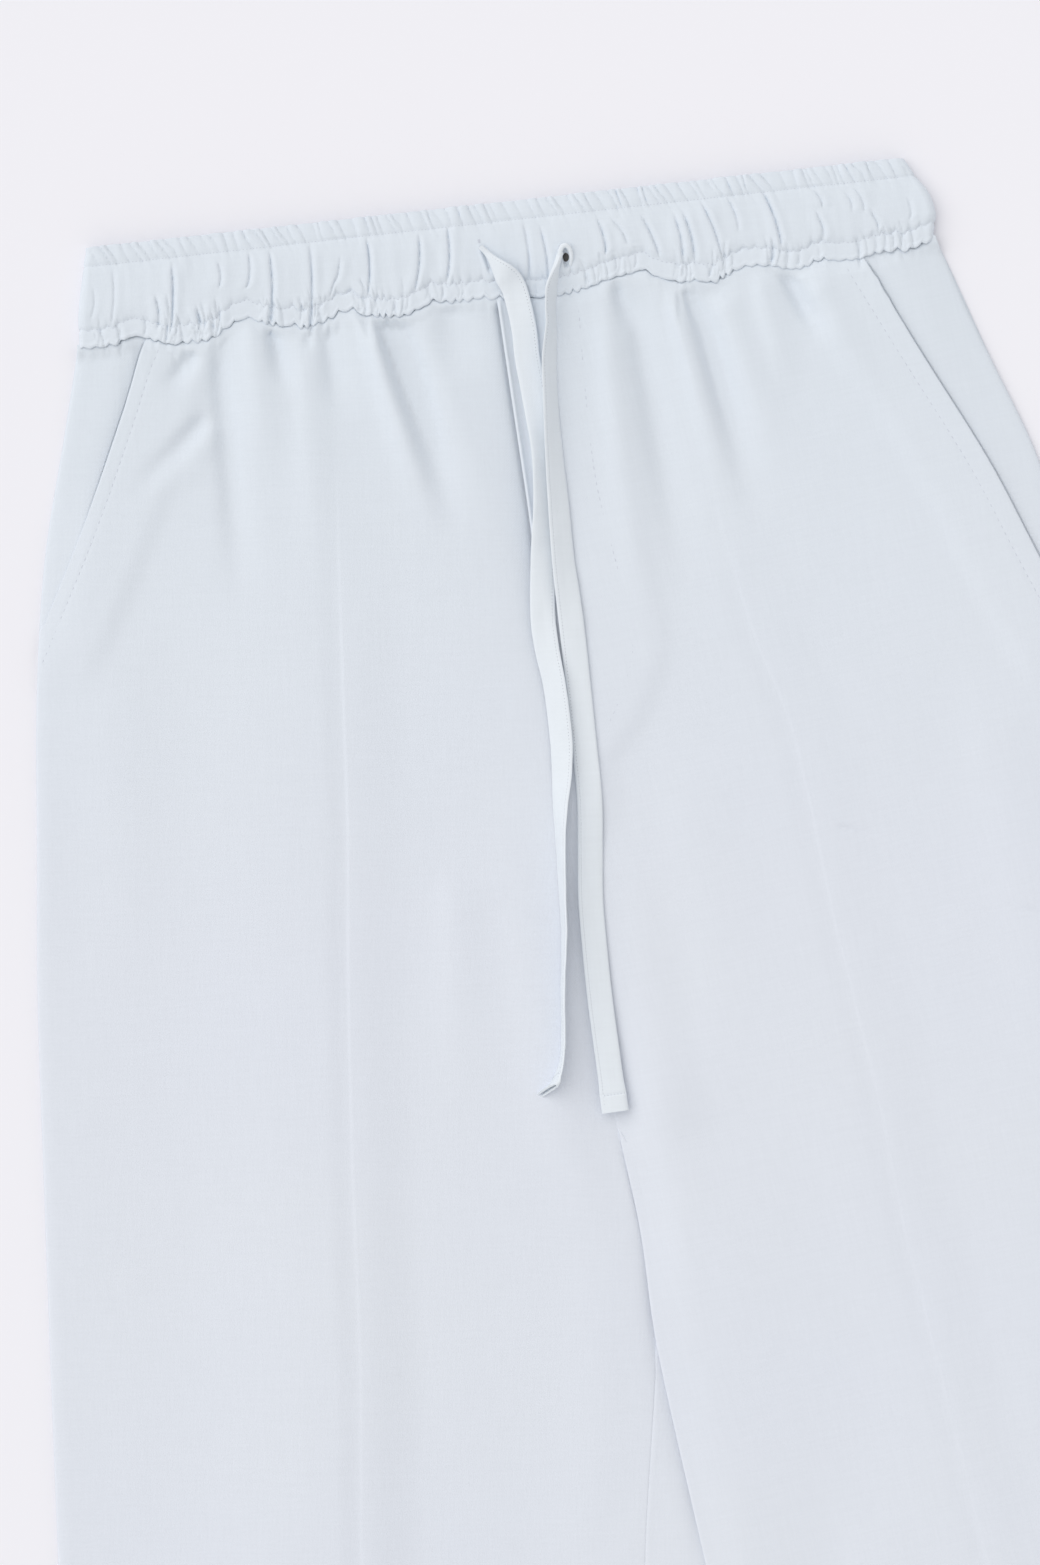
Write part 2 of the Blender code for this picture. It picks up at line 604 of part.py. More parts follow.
def make_back_right(material):
    """The wearer's right back: flat below, then round its inner fold and back to the inseam."""
    turn = LAYER / 2
    columns = BACK_COLUMNS_OUTSIDE + 3
    points = []
    quads = []
    index = {}
    for i, down in enumerate(BACK_ROWS):
        wraps = down > CROTCH_DOWN
        fold = leg_at(RIGHT_LEG, down, "fold")
        start = fold - WALL / 2 - turn if wraps else fold - SEAM_GAP
        outer = leg_at(RIGHT_LEG, down, "outer")
        section = [(outer + (start - outer) * k / columns, WALL / 2) for k in range(columns + 1)]
        if wraps:
            for k in range(1, FOLD_STEPS + 1):
                angle = math.pi * k / FOLD_STEPS
                section.append((start + turn * math.sin(angle), WALL / 2 + turn * (1.0 - math.cos(angle))))
            end = leg_at(RIGHT_LEG, down, "inseam") + SEAM_GAP
            for k in range(1, WRAP_COLUMNS + 1):
                section.append((start + (end - start) * k / WRAP_COLUMNS, WALL / 2 + LAYER))
        for j, (x, z) in enumerate(section):
            index[(i, j)] = len(points)
            points.append(garment_point(x, back_row(RIGHT_LEG, x, down), z))
    for (i, j) in index:
        corners = ((i, j), (i, j + 1), (i + 1, j + 1), (i + 1, j))
        if all(corner in index for corner in corners):
            quads.append(tuple(index[corner] for corner in reversed(corners)))
    return wall_from_sheet("back_right", points, quads, WALL, material)


def make_pocket_piece(name, leg, pocket, material):
    """The side piece of a pocket: it shows outside the opening and runs under the front."""
    points = []
    rows = [down for down in FRONT_ROWS if down < pocket["end"] - 0.002] + [pocket["end"] - 0.001]
    for down in rows:
        for x in pocket_columns(leg, pocket, down):
            low = down + row_shift(leg, x, down) + (SEAM_GAP if down == 0.0 else 0.0)
            points.append(garment_point(x, low, front_base(x, down) + WALL / 2))
    columns = sum(POCKET_PIECE_COLUMNS) + 1
    return wall_from_sheet(name, points, grid_quads(len(rows), columns), WALL, material)


def make_fly_facing(material):
    """The facing under the fly, with its J-shaped edge."""
    points = []
    rows = [down for down in FRONT_ROWS if down < 0.130]
    rows += [0.1301, 0.1471, 0.1554, 0.1675, 0.1800, 0.1900, FLY_DOWN]
    columns = 7
    for down in rows:
        start = centre_line(down) + SEAM_GAP + fly_underlap(down)
        end = centre_line(down) + along_table(FLY_EDGE, down)
        for k in range(columns + 1):
            x = start + (end - start) * k / columns
            low = down + row_shift(LEFT_LEG, x, down) + (FLY_FACING_TOP_GAP if down == 0.0 else 0.0)
            points.append(garment_point(x, low, front_base(x, down) + WALL / 2 - FLY_FACING_DROP))
    return wall_from_sheet("fly_facing", points, grid_quads(len(rows), columns + 1), WALL, material)


def band_x(fraction, height):
    """Place across the band at a fraction of its flat width."""
    reach = BAND_INSIDE_GAP / 2 + BAND_BACK_WALL
    left = along_table(BAND_SIDES, height, 1) + reach
    right = along_table(BAND_SIDES, height, 2) - reach
    return left + (right - left) * fraction


def band_fraction(x, height):
    """Fraction of the band's flat width at one place across it."""
    left = band_x(0.0, height)
    return (x - left) / (band_x(1.0, height) - left)


def ruffle_columns():
    """Stations across the band's front, four to a ruffle, as fractions, with each ruffle's wave."""
    widths = [1.0 + 0.32 * math.sin(2.1 * i) + 0.2 * math.sin(5.3 * i + 1.0) for i in range(RUFFLES)]
    total = sum(widths)
    stations = []
    start = 0.0
    for i, width in enumerate(widths):
        size = 0.65 + 0.35 * math.sin(3.7 * i + 0.5)
        for k in range(COLUMNS_PER_RUFFLE):
            phase = k / COLUMNS_PER_RUFFLE
            stations.append(((start + width * phase) / total, size * math.sin(2.0 * math.pi * phase)))
        start += width
    stations.append((1.0, 0.0))
    for x, _ in seam_stops():
        fraction = band_fraction(x, 0.0)
        if stations[1][0] < fraction < stations[-2][0]:
            nearest = min(range(1, len(stations) - 1), key=lambda j: abs(stations[j][0] - fraction))
            stations[nearest] = (fraction, stations[nearest][1])
    for x, middle, half_width, _ in BUTTONHOLES:
        slit = [(band_fraction(x + step * half_width, middle), 0.0) for step in (-1, 0, 1)]
        stations = [s for s in stations if abs(s[0] - slit[1][0]) > 1.5 * (slit[2][0] - slit[1][0])]
        stations += slit
    return sorted(stations)


def gather_height(x, height):
    """Troughs and ridges of the channel at one point."""
    total = 0.0
    up = height / BAND_HEIGHT
    for top_x, foot_x, depth in GATHERS:
        middle = foot_x + (top_x - foot_x) * up
        total -= depth * math.exp(-(((x - middle) / GATHER_TROUGH) ** 2))
        total += 0.6 * depth * math.exp(-(((x - middle - GATHER_RIDGE_OFFSET) / GATHER_RIDGE) ** 2))
    return total


def buttonhole_depth(x, height):
    """Depth of the slits, zero at their ends."""
    total = 0.0
    for hole_x, middle, half_width, depth in BUTTONHOLES:
        if abs(x - hole_x) < 0.5 * half_width and abs(height - middle) < BUTTONHOLE_HALF_HEIGHT:
            total += depth
    return total


def band_front_offset(x, height, wall, ruffle, gather, wave):
    """Height of the band's front face above the middle of the loop."""
    relief = ruffle * wave + gather * gather_height(x, height) - buttonhole_depth(x, height)
    return BAND_INSIDE_GAP / 2 + wall + relief


def band_loop():
    """Stations round the flattened loop: fraction across, wave, turn angle and how much is front."""
    stations = [(fraction, wave, 0.0, 1.0) for fraction, wave in ruffle_columns()]
    for k in range(1, BAND_END_STEPS):
        share = k / BAND_END_STEPS
        stations.append((1.0, 0.0, math.pi * share, 1.0 - share))
    for k in range(BAND_BACK_STEPS + 1):
        stations.append((1.0 - k / BAND_BACK_STEPS, 0.0, math.pi, 0.0))
    for k in range(1, BAND_END_STEPS):
        share = k / BAND_END_STEPS
        stations.append((0.0, 0.0, math.pi * (1.0 - share), share))
    return stations


def band_point(station, height, reach, front_share):
    """A point of the loop at a distance out from the middle of its gap."""
    fraction, wave, angle, _ = station
    x = band_x(fraction, height)
    if 0.0 < angle < math.pi:
        x += (1.0 if fraction > 0.5 else -1.0) * reach * math.sin(angle)
    z = BAND_INSIDE_GAP / 2 + BAND_BACK_WALL + reach * math.cos(angle)
    follow = 1.0 - smoothstep(BAND_SEAM_FOLLOW[0], BAND_SEAM_FOLLOW[1], height)
    seam = seam_rise(x) * front_share + back_seam_rise(x) * (1.0 - front_share)
    scallop = RUFFLE_SCALLOP * wave * smoothstep(RUFFLE_START, BAND_HEIGHT, height)
    return garment_point(x, -height - seam * follow - scallop, z)


def make_waistband(material):
    """The waistband: outer points carry the ruffles and gathers over a plain inside."""
    stations = band_loop()
    count = len(stations)
    verts = []
    for height, wall, ruffle, gather in BAND_SECTION:
        for station in stations:
            fraction, wave, _, front_share = station
            front = band_front_offset(band_x(fraction, height), height, wall, ruffle, gather, wave)
            back = BAND_INSIDE_GAP / 2 + BAND_BACK_WALL
            reach = back + (front - back) * front_share
            verts.append(band_point(station, height, reach, front_share))
    outer_rows = len(BAND_SECTION)
    for height in (0.0, BAND_HEIGHT):
        for station in stations:
            verts.append(band_point(station, height, BAND_INSIDE_GAP / 2, station[3]))
    faces = []

    def add_ring(lower, upper):
        for j in range(count):
            k = (j + 1) % count
            faces.append((lower + j, lower + k, upper + k, upper + j))

    for i in range(outer_rows - 1):
        add_ring(i * count, (i + 1) * count)
    inner_low = outer_rows * count
    inner_high = inner_low + count
    add_ring((outer_rows - 1) * count, inner_high)
    add_ring(inner_high, inner_low)
    add_ring(inner_low, 0)
    return add_object("waistband", verts, faces, material)


def make_tie(name, route, material):
    """A flat tie along its route, turned by the route's roll."""
    lengths = [0.0]
    for a, b in zip(route, route[1:]):
        lengths.append(lengths[-1] + math.dist(a[:3], b[:3]))
    rows = [(s,) + point for s, point in zip(lengths, route)]
    steps = round(lengths[-1] / TIE_STEP)
    middles = []
    for k in range(steps + 1):
        s = lengths[-1] * k / steps
        x, down, z, roll = (along_table(rows, s, column) for column in (1, 2, 3, 4))
        middles.append((garment_point(x, down, z), math.radians(roll)))
    verts = []
    for k, (middle, roll) in enumerate(middles):
        ahead = middles[min(k + 1, steps)][0]
        behind = middles[max(k - 1, 0)][0]
        tangent = (ahead - behind).normalized()
        side = tangent.cross(Vector((0.0, 0.0, 1.0))).normalized()
        up = side.cross(tangent)
        across = side * math.cos(roll) + up * math.sin(roll)
        through = up * math.cos(roll) - side * math.sin(roll)
        for a, b in ((-1, -1), (1, -1), (1, 1), (-1, 1)):
            verts.append(middle + across * a * TIE_WIDTH / 2 + through * b * TIE_THICKNESS / 2)
    faces = [(3, 2, 1, 0)]
    for k in range(steps):
        for c in range(4):
            d = (c + 1) % 4
            faces.append((4 * k + c, 4 * k + d, 4 * k + 4 + d, 4 * k + 4 + c))
    faces.append(tuple(4 * steps + c for c in range(4)))
    return add_object(name, verts, faces, material)


def main():
    for item in list(bpy.data.objects):
        bpy.data.objects.remove(item, do_unlink=True)
    cloth = cloth_material()
    right_pocket = POCKET_OPENINGS["right"]
    left_pocket = POCKET_OPENINGS["left"]
    make_waistband(cloth)
    make_front("front_right", RIGHT_LEG, right_pocket, right_front_under, cloth)
    make_front("front_left", LEFT_LEG, left_pocket, left_front_under, cloth)
    make_back_right(cloth)
    make_back_left(cloth)
    make_pocket_piece("pocket_side_right", RIGHT_LEG, right_pocket, cloth)
    make_pocket_piece("pocket_side_left", LEFT_LEG, left_pocket, cloth)
    make_fly_facing(cloth)
    make_tie("drawstring_right", DRAWSTRING_RIGHT, cloth)
    make_tie("drawstring_left", DRAWSTRING_LEFT, cloth)


main()
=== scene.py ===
"""Wide-leg trousers with a gathered drawstring waist, laid flat with the front up: the cloth's looks."""

import math

import bpy
import numpy as np
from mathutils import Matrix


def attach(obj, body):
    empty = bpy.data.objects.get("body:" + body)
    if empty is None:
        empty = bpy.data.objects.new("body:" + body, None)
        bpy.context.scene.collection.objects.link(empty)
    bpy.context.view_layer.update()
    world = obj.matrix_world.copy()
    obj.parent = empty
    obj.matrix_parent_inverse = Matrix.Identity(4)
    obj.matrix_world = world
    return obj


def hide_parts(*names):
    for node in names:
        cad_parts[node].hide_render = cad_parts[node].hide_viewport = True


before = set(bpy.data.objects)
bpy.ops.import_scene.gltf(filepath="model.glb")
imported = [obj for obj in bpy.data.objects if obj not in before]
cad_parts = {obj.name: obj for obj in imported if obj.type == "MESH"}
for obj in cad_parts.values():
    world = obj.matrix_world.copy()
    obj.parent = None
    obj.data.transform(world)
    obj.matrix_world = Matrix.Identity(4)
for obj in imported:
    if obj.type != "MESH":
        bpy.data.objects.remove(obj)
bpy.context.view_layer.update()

# Frame, in metres, as in the model. The trousers lie on the plane Z = 0, X runs to the viewer's right
# and Y from the hems to the waist. Tables are in garment coordinates: x and the distance down from the
# point where the waistband meets the fronts at the centre.
GARMENT_ZERO = (-0.0240, 0.4876)

# Photograph: the point at its middle, how much it shows and how far it is turned
PICTURE = (1040, 1565)
PICTURE_CENTRE = (-0.0404, 0.2862)
PICTURE_HEIGHT = 0.6573
PICTURE_TURN = math.radians(-6.3)
CAMERA_DISTANCE = 2.2
SENSOR = 36.0

# Cloth: the solid wall and the thin shell drawn on it
WALL = 0.0011
LAYER_GAP = 0.0004
LAYER = WALL + LAYER_GAP
SEAM_GAP = 0.0003
SEAM_CLOSED = 0.0004
SHELL = 0.0005
SHELL_CLEAR = 0.0001

CROTCH_DOWN = 0.3490
BELOW_CROTCH = (0.3400, 0.3520)
LEGS_APART = (CROTCH_DOWN - 0.0040, CROTCH_DOWN + 0.0120)
HEM_DOWN = 1.0000
HEM_TURN = (0.4500, 0.7500)
HEM_STITCH = HEM_DOWN - 0.0350
HEM_THICKER = 0.0003
HEM_STEP = 0.0008
BAND_HEIGHT = 0.0410

# Legs: the viewer's side, the crease's share of its height and the slant of the hem. Then the pocket: where
# its edge ends, how far inside the edge it is stitched, how far the cloth sinks outside it, and whether it
# closes further down.
LEG_COLUMNS = ("down", "outer", "crease", "inseam", "fold")
RIGHT_LEG = {
    "side": -1,
    "crease_share": 1.0,
    "hem_slope": -0.082,
    "pocket_end": 0.1150,
    "pocket_stitch": 0.0062,
    "pocket_sink": 1.0,
    "pocket_closes": True,
    "pocket": (
        # down, x
        (0.0000, -0.1515), (0.0036, -0.1530), (0.0719, -0.1850), (0.1150, -0.2080), (0.1400, -0.2220),
    ),
    "rows": (
        (0.000, -0.1807, -0.0715, -0.0040, -0.0040),
        (0.035, -0.1902, -0.0745, -0.0027, -0.0027),
        (0.087, -0.2044, -0.0800, -0.0006, -0.0006),
        (0.145, -0.2142, -0.0846, 0.0000, 0.0000),
        (0.210, -0.2212, -0.0896, 0.0010, 0.0010),
        (0.270, -0.2276, -0.0959, 0.0040, 0.0040),
        (0.349, -0.2336, -0.1030, 0.0084, 0.0092),
        (0.370, -0.2352, -0.1046, 0.0151, 0.0230),
        (0.395, -0.2370, -0.1062, 0.0185, 0.0350),
        (0.443, -0.2405, -0.1098, 0.0143, 0.0393),
        (0.533, -0.2468, -0.1190, -0.0008, 0.0312),
        (0.630, -0.2540, -0.1270, -0.0109, 0.0220),
        (0.800, -0.2662, -0.1410, -0.0218, 0.0110),
        (1.000, -0.2808, -0.1567, -0.0328, 0.0000),
    ),
}
LEFT_LEG = {
    "side": 1,
    "crease_share": 0.55,
    "hem_slope": 0.135,
    "pocket_end": 0.1650,
    "pocket_stitch": 0.0090,
    "pocket_sink": 0.3,
    "pocket_closes": False,
    "pocket": (
        (0.0000, 0.1504), (0.0450, 0.1725), (0.0905, 0.1945), (0.1325, 0.2110), (0.1650, 0.2245),
        (0.1900, 0.2350),
    ),
    "rows": (
        (0.000, 0.1820, 0.0660, -0.0040, -0.0040),
        (0.047, 0.1998, 0.0735, -0.0022, -0.0022),
        (0.093, 0.2154, 0.0785, -0.0005, -0.0005),
        (0.145, 0.2234, 0.0874, 0.0000, 0.0000),
        (0.192, 0.2302, 0.1000, 0.0006, 0.0006),
        (0.272, 0.2392, 0.1088, 0.0041, 0.0041),
        (0.349, 0.2486, 0.1190, 0.0084, 0.0084),
        (0.394, 0.2535, 0.1228, 0.0130, 0.0130),
        (0.443, 0.2588, 0.1290, 0.0146, 0.0146),
        (0.536, 0.2678, 0.1415, 0.0253, 0.0253),
        (0.630, 0.2798, 0.1547, 0.0365, 0.0365),
        (0.800, 0.3022, 0.1777, 0.0569, 0.0569),
        (1.000, 0.3289, 0.2050, 0.0810, 0.0810),
    ),
}

# Waist seam: the height of its gathered line along the front
SEAM_LINE = (
    # x, rise
    (-0.1840, 0.0000), (-0.1655, 0.0000), (-0.1590, 0.0020), (-0.1513, 0.0014), (-0.1420, -0.0022),
    (-0.1327, -0.0026), (-0.1240, -0.0018), (-0.1170, 0.0022), (-0.1092, 0.0050), (-0.1010, 0.0022),
    (-0.0920, 0.0000), (-0.0831, -0.0011), (-0.0769, 0.0000), (-0.0700, 0.0032), (-0.0645, 0.0036),
    (-0.0590, 0.0010), (-0.0472, -0.0012), (-0.0398, -0.0002), (-0.0298, 0.0035), (-0.0212, 0.0020),
    (-0.0100, 0.0026), (0.0000, 0.0010), (0.0220, 0.0002), (0.0320, 0.0014), (0.0400, 0.0036),
    (0.0500, 0.0056), (0.0590, 0.0066), (0.0654, 0.0028), (0.0743, 0.0003), (0.0807, 0.0003),
    (0.0860, -0.0016), (0.0920, 0.0006), (0.0965, 0.0025), (0.1048, 0.0036), (0.1128, 0.0024),
    (0.1180, 0.0008), (0.1243, 0.0003),
    (0.1320, 0.0030), (0.1460, 0.0014), (0.1600, 0.0036), (0.1700, 0.0031), (0.1800, 0.0057),
    (0.1880, 0.0062),
)
# The small ripples on it. Uneven values have a height and a distance, and patches a share, a distance and
# two levels.
SEAM_RIPPLE = 0.0034
SEAM_RIPPLE_SIZE = 0.0046
SEAM_RIPPLE_MIDDLE = 0.6
SEAM_RIPPLE_DRIFT = (0.9, 0.0080)
SEAM_RIPPLE_PATCHES = (0.70, 0.0150, -0.40, 0.70)
SEAM_RIPPLE_UNEVEN = (0.35, 0.0040)
SEAM_KINK = (0.0005, 0.0026)
SEAM_WAVE_FADE = 0.0200
SEAM_PUCKER = (0.22, SEAM_WAVE_FADE)
BACK_SEAM_BEND = 0.1013
BACK_SEAM_SLOPE = 0.072
BACK_SEAM_FADE = 0.0500

WAIST_RISE = 0.0022
WAIST_RISE_LENGTH = 0.2500
SIDE_ROUNDING = 0.0220

# Folds of the fronts. Width is half a fold's width at its middle, and height is negative in a trough.
FOLDS = (
    # top x, top down, foot x, foot down, width, height
    (-0.0550, 0.0010, -0.0480, 0.0240, 0.0035, -0.0014),
    (-0.0500, 0.0010, -0.0400, 0.0520, 0.0065, -0.0018),
    (-0.0515, 0.0020, -0.0285, 0.1020, 0.0066, -0.0030),
    (-0.0600, 0.0020, -0.0370, 0.1020, 0.0075, 0.0020),
    (-0.0260, 0.0010, -0.0230, 0.0340, 0.0120, -0.0011),
    (-0.0370, 0.0100, -0.0200, 0.1150, 0.0090, 0.0006),
    (-0.1000, 0.0020, -0.0960, 0.0300, 0.0040, -0.0013),
    (-0.1080, 0.0040, -0.1060, 0.0700, 0.0090, 0.0012),
    (-0.0765, 0.0040, -0.0740, 0.0450, 0.0060, -0.0011),
    (-0.0870, 0.0060, -0.0900, 0.1200, 0.0090, 0.0010),
    (-0.1225, 0.0030, -0.1250, 0.1300, 0.0055, -0.0015),
    (-0.1330, 0.0040, -0.1480, 0.0240, 0.0040, -0.0012),
    (-0.1300, 0.0330, -0.1680, 0.0680, 0.0050, -0.0010),
    (-0.1260, 0.0390, -0.1640, 0.0730, 0.0060, 0.0006),
    (0.0460, 0.0010, 0.0500, 0.0220, 0.0035, -0.0016),
    (0.0400, 0.0100, 0.0440, 0.1500, 0.0085, 0.0012),
    (0.0520, 0.0030, 0.0640, 0.1500, 0.0085, -0.0015),
    (0.0690, 0.0050, 0.0840, 0.1000, 0.0065, 0.0012),
    (0.0775, 0.0020, 0.0970, 0.1150, 0.0068, -0.0019),
    (0.0880, 0.0060, 0.1080, 0.0900, 0.0080, 0.0011),
    (0.1160, 0.0000, 0.1320, 0.0330, 0.0045, -0.0018),
    (0.1270, 0.0080, 0.1520, 0.0620, 0.0080, 0.0010),
    (0.1060, 0.0040, 0.1150, 0.0600, 0.0060, 0.0008),
    (-0.0490, 0.2350, -0.0560, 0.3600, 0.0120, 0.0007),
    (-0.1800, 0.1200, -0.1900, 0.3200, 0.0200, 0.0006),
    (0.0500, 0.2000, 0.0640, 0.4200, 0.0180, 0.0006),
    (0.1800, 0.1800, 0.2040, 0.4200, 0.0200, 0.0006),
    (-0.2000, 0.5200, -0.2200, 0.8200, 0.0200, 0.0006),
    (-0.0750, 0.5400, -0.0850, 0.8400, 0.0200, 0.0006),
    (0.0900, 0.5200, 0.1200, 0.8200, 0.0200, 0.0006),
    (0.2150, 0.5600, 0.2500, 0.8600, 0.0200, 0.0006),
)
FOLD_LOFT = 2.10
# Shares of a fold's run: where it starts, is full, begins to fade and has gone
FOLD_RUN = (-0.05, 0.12, 0.35, 1.0)
# Shares of a fold's width: at its top and its foot, and on its left and its right
FOLD_WIDENS = (0.7, 1.3)
FOLD_FLANKS = (0.75, 1.25)

# Small folds that only the cloth's surface has
SMALL_FOLDS = (
    (-0.1415, 0.0035, -0.1390, 0.0140, 0.0016, -0.0008),
    (-0.1330, 0.0060, -0.1352, 0.0150, 0.0013, -0.0007),
    (-0.1008, 0.0010, -0.0974, 0.0170, 0.0016, -0.0012),
    (-0.0841, 0.0030, -0.0856, 0.0120, 0.0018, -0.0010),
    (-0.0603, 0.0015, -0.0580, 0.0150, 0.0018, -0.0014),
    (-0.0473, 0.0030, -0.0490, 0.0250, 0.0022, -0.0010),
    (-0.0560, 0.0060, -0.0530, 0.0300, 0.0030, 0.0006),
    (-0.0209, 0.0005, -0.0256, 0.0070, 0.0020, -0.0010),
    (-0.0300, 0.0020, -0.0320, 0.0140, 0.0030, 0.0005),
    (0.0454, -0.0010, 0.0474, 0.0110, 0.0012, -0.0013),
    (0.0478, 0.0020, 0.0520, 0.0150, 0.0020, 0.0007),
    (0.0747, 0.0035, 0.0772, 0.0200, 0.0015, -0.0015),
    (0.0723, 0.0050, 0.0712, 0.0220, 0.0018, -0.0008),
    (0.0800, 0.0030, 0.0850, 0.0240, 0.0030, 0.0008),
    (0.1174, 0.0000, 0.1216, 0.0130, 0.0016, -0.0015),
    (0.1230, 0.0030, 0.1310, 0.0230, 0.0035, 0.0009),
    (0.1549, 0.0005, 0.1590, 0.0080, 0.0014, -0.0008),
    (0.1144, 0.2338, 0.1320, 0.2415, 0.0009, -0.0006),
    (0.1866, 0.2769, 0.1990, 0.2816, 0.0009, -0.0006),
    (-0.1997, 0.2160, -0.1753, 0.2251, 0.0016, -0.0003),
    (-0.2075, 0.2490, -0.1913, 0.2550, 0.0016, -0.0003),
)
# Uneven waves of the cloth: how far apart, how high, and how much longer they are down the leg
WAVES = (
    # size, height, stretch, seed
    (0.0420, 0.00042, 2.6, 11),
    (0.0170, 0.00012, 2.2, 12),
    (0.0065, 0.00003, 1.5, 13),
)
SEAM_WRINKLE = (0.0005, 0.0080)
SEAM_WRINKLE_SIZE = 0.0022
SEAM_WRINKLE_STRETCH = 9.0
SEAM_WRINKLE_UNEVEN = (0.4, 0.0120)

# Pressed crease: the cloth crowns beside it, dips towards it, climbs to its edge and slopes away after it.
# Rows are start and end beside the crease, and height.
CREASE_CROWN = (-0.0850, -0.0120, 0.0026)
CREASE_DIP = (-0.0110, -0.0014, 0.0009)
CREASE_CLIMB = (-0.0014, 0.0003, 0.00032)
CREASE_AFTER = 0.0270
CREASE_START = (0.0280, 0.1680)
CREASE_LOW = (0.2000, 0.4400, 0.5)

# Pockets: the lift of the front over the side piece, the trench beside the opening, and how the opening of
# the viewer's left pocket closes further down
POCKET_LIFT = (0.0250, 0.0370)
POCKET_LIFT_END = (0.0080, 0.0340)
POCKET_PIECE_UNDER = 0.0100
POCKET_PIECE_PAST = 0.0020
POCKET_STITCH_PAST = 0.0220
POCKET_STITCH_GROOVE = (0.00018, 0.0006)
POCKET_TRENCH_DEPTH = 0.0003
POCKET_TRENCH = (-0.0040, 0.0, 0.00035, 0.0010)
POCKET_TRENCH_REACH = 0.0030
POCKET_SINK = (0.0018, 0.0240)
POCKET_CLOSE = (0.0009, 0.0080)
POCKET_CLOSES = (0.0450, 0.0820)
POCKET_CLOSE_END = (0.0, 0.0300)

FLY_EDGE = (
    # down, width from the centre front
    (0.0000, 0.0340), (0.0450, 0.0310), (0.0787, 0.0300), (0.1043, 0.0325), (0.1301, 0.0362),
    (0.1471, 0.0370), (0.1554, 0.0356), (0.1675, 0.0305), (0.1800, 0.0235), (0.1900, 0.0150),
    (0.1960, 0.0080),
)
FLY_DOWN = 0.1960
FLY_UNDERLAP = 0.0050
FLY_LIFT = (0.0070, 0.0190)
FLY_STITCH_GROOVE = (0.00020, 0.0006)
FLY_RELIEF = (
    # height, how far inside the fold, half width, down where it fades and ends
    (-0.0009, 0.0040, 0.0024, 0.0600, 0.1600),
    (0.0004, 0.0009, 0.0007, 0.1200, 0.1800),
)
FLY_VALLEYS = ((0.0016, 0.0060), (0.0009, 0.0008))
FLY_VALLEY_END = (0.1000, 0.2000)
FLY_CLOSE = (0.1760, 0.1960)
FLY_LIFT_END = (0.2060, 0.2300)

CROSSING_RISE = 2.0 * WALL + LAYER_GAP + 0.0005
CROSSING_START = (0.2900, 0.3480)
CROSSING_MARGIN = 0.0060
CROSSING_FADE = 0.0600

# How panels' edges turn down: how far and over what width
SEAM_TURN = (0.00012, 0.0010)
FOLD_TURN = (0.0004, 0.0012)
INNER_EDGE = (0.2150, 0.2550)
INNER_EDGE_FADE = 0.0200
LEG_STEPS_FRONT = ((0.3850, 0.4350, 0.58),)
LEG_STEPS_BACK = ((0.3500, 0.3720, 0.46), (0.3850, 0.4350, 0.34))
LEG_TURN = (0.0004, 0.0016)
LEG_DIP = (0.0011, 0.0035, 0.0100)
LEG_DIP_START = 0.0150
LEG_DIP_NARROW = 0.15
LEG_DIP_WIDENS = (0.3790, 0.4090)
INSEAM_VALLEY = (0.0013, 0.0100)
INSEAM_MOUND = (0.0018, 0.0120)
INSEAM_MOUND_INSIDE = 0.0240
INSEAM_REACH = (0.2000, 0.3000)
INSEAM_FADE = (0.3450, 0.4000, 0.75)
SIDE_TURN = (0.0013, 0.0060)

# The right back's part that turns to the inseam
WRAP_START = 0.0040
WRAP_FOLLOW = 0.0060
WRAP_TURN = (0.0002, 0.0010)
WRAP_RIPPLE = (0.00025, 0.0200, 0.0300)
WRAP_RIPPLE_INSIDE = 0.0040

# Backs: hollows of their underside
BACK_HOLLOW = (0.00030, 0.0450, 0.1100)
BACK_GATHER = (0.0007, 0.0450)
BACK_GATHER_UNEVEN = (0.5, 0.0080)
BACK_CREASE_WIDTH = 0.0060
BACK_CREASE_START = (0.0700, 0.1400)
BACK_SIDE = 0.0120
BACK_INSIDE_CLEAR = 0.0006

TUCK_REACH = 0.0016

# Rows of points down the panels and up the waistband: where each stretch starts, and the step in it
FRONT_ROWS = (
    (-TUCK_REACH, 0.0006), (0.0200, 0.0009), (0.0400, 0.0016), (0.1000, 0.0032), (0.2150, 0.0032),
    (0.2320, 0.0012), (0.2450, 0.0040), (0.2740, 0.0012), (0.2840, 0.0048), (0.4300, 0.0080),
    (0.6300, 0.0130), (0.9500, 0.0130), (0.9640, 0.0005), (0.9660, 0.0060), (0.9980, 0.0010),
    (1.0000, 0.0010),
)
BACK_ROWS = (
    (0.0003, 0.0020), (0.0400, 0.0060), (0.3440, 0.0030), (0.4300, 0.0080), (0.9500, 0.0080),
    (0.9640, 0.0005), (0.9660, 0.0080), (1.0000, 0.0080),
)
BAND_ROWS = (
    (0.0000, 0.0005), (0.0024, 0.0009), (0.0060, 0.0004), (0.0082, 0.0009), (0.0305, 0.0006),
    (0.0345, 0.0009), (0.0404, 0.0006), (0.0410, 0.0006),
)
# How far the rounded rims of the band go past its ends
BAND_RIM_LOW = 0.0004
BAND_RIM_HIGH = 0.0003
# How strongly the columns of a panel crowd towards its edges
CROWDING = 0.82

# Where the fronts go under the waistband
TUCK_LENGTH = 0.0065
TUCK_DEPTH = 0.0006
TUCK_GROOVE = (0.0012, 0.0007)
TUCK_PATCHES = (0.75, 0.0060, -0.45, 0.45)

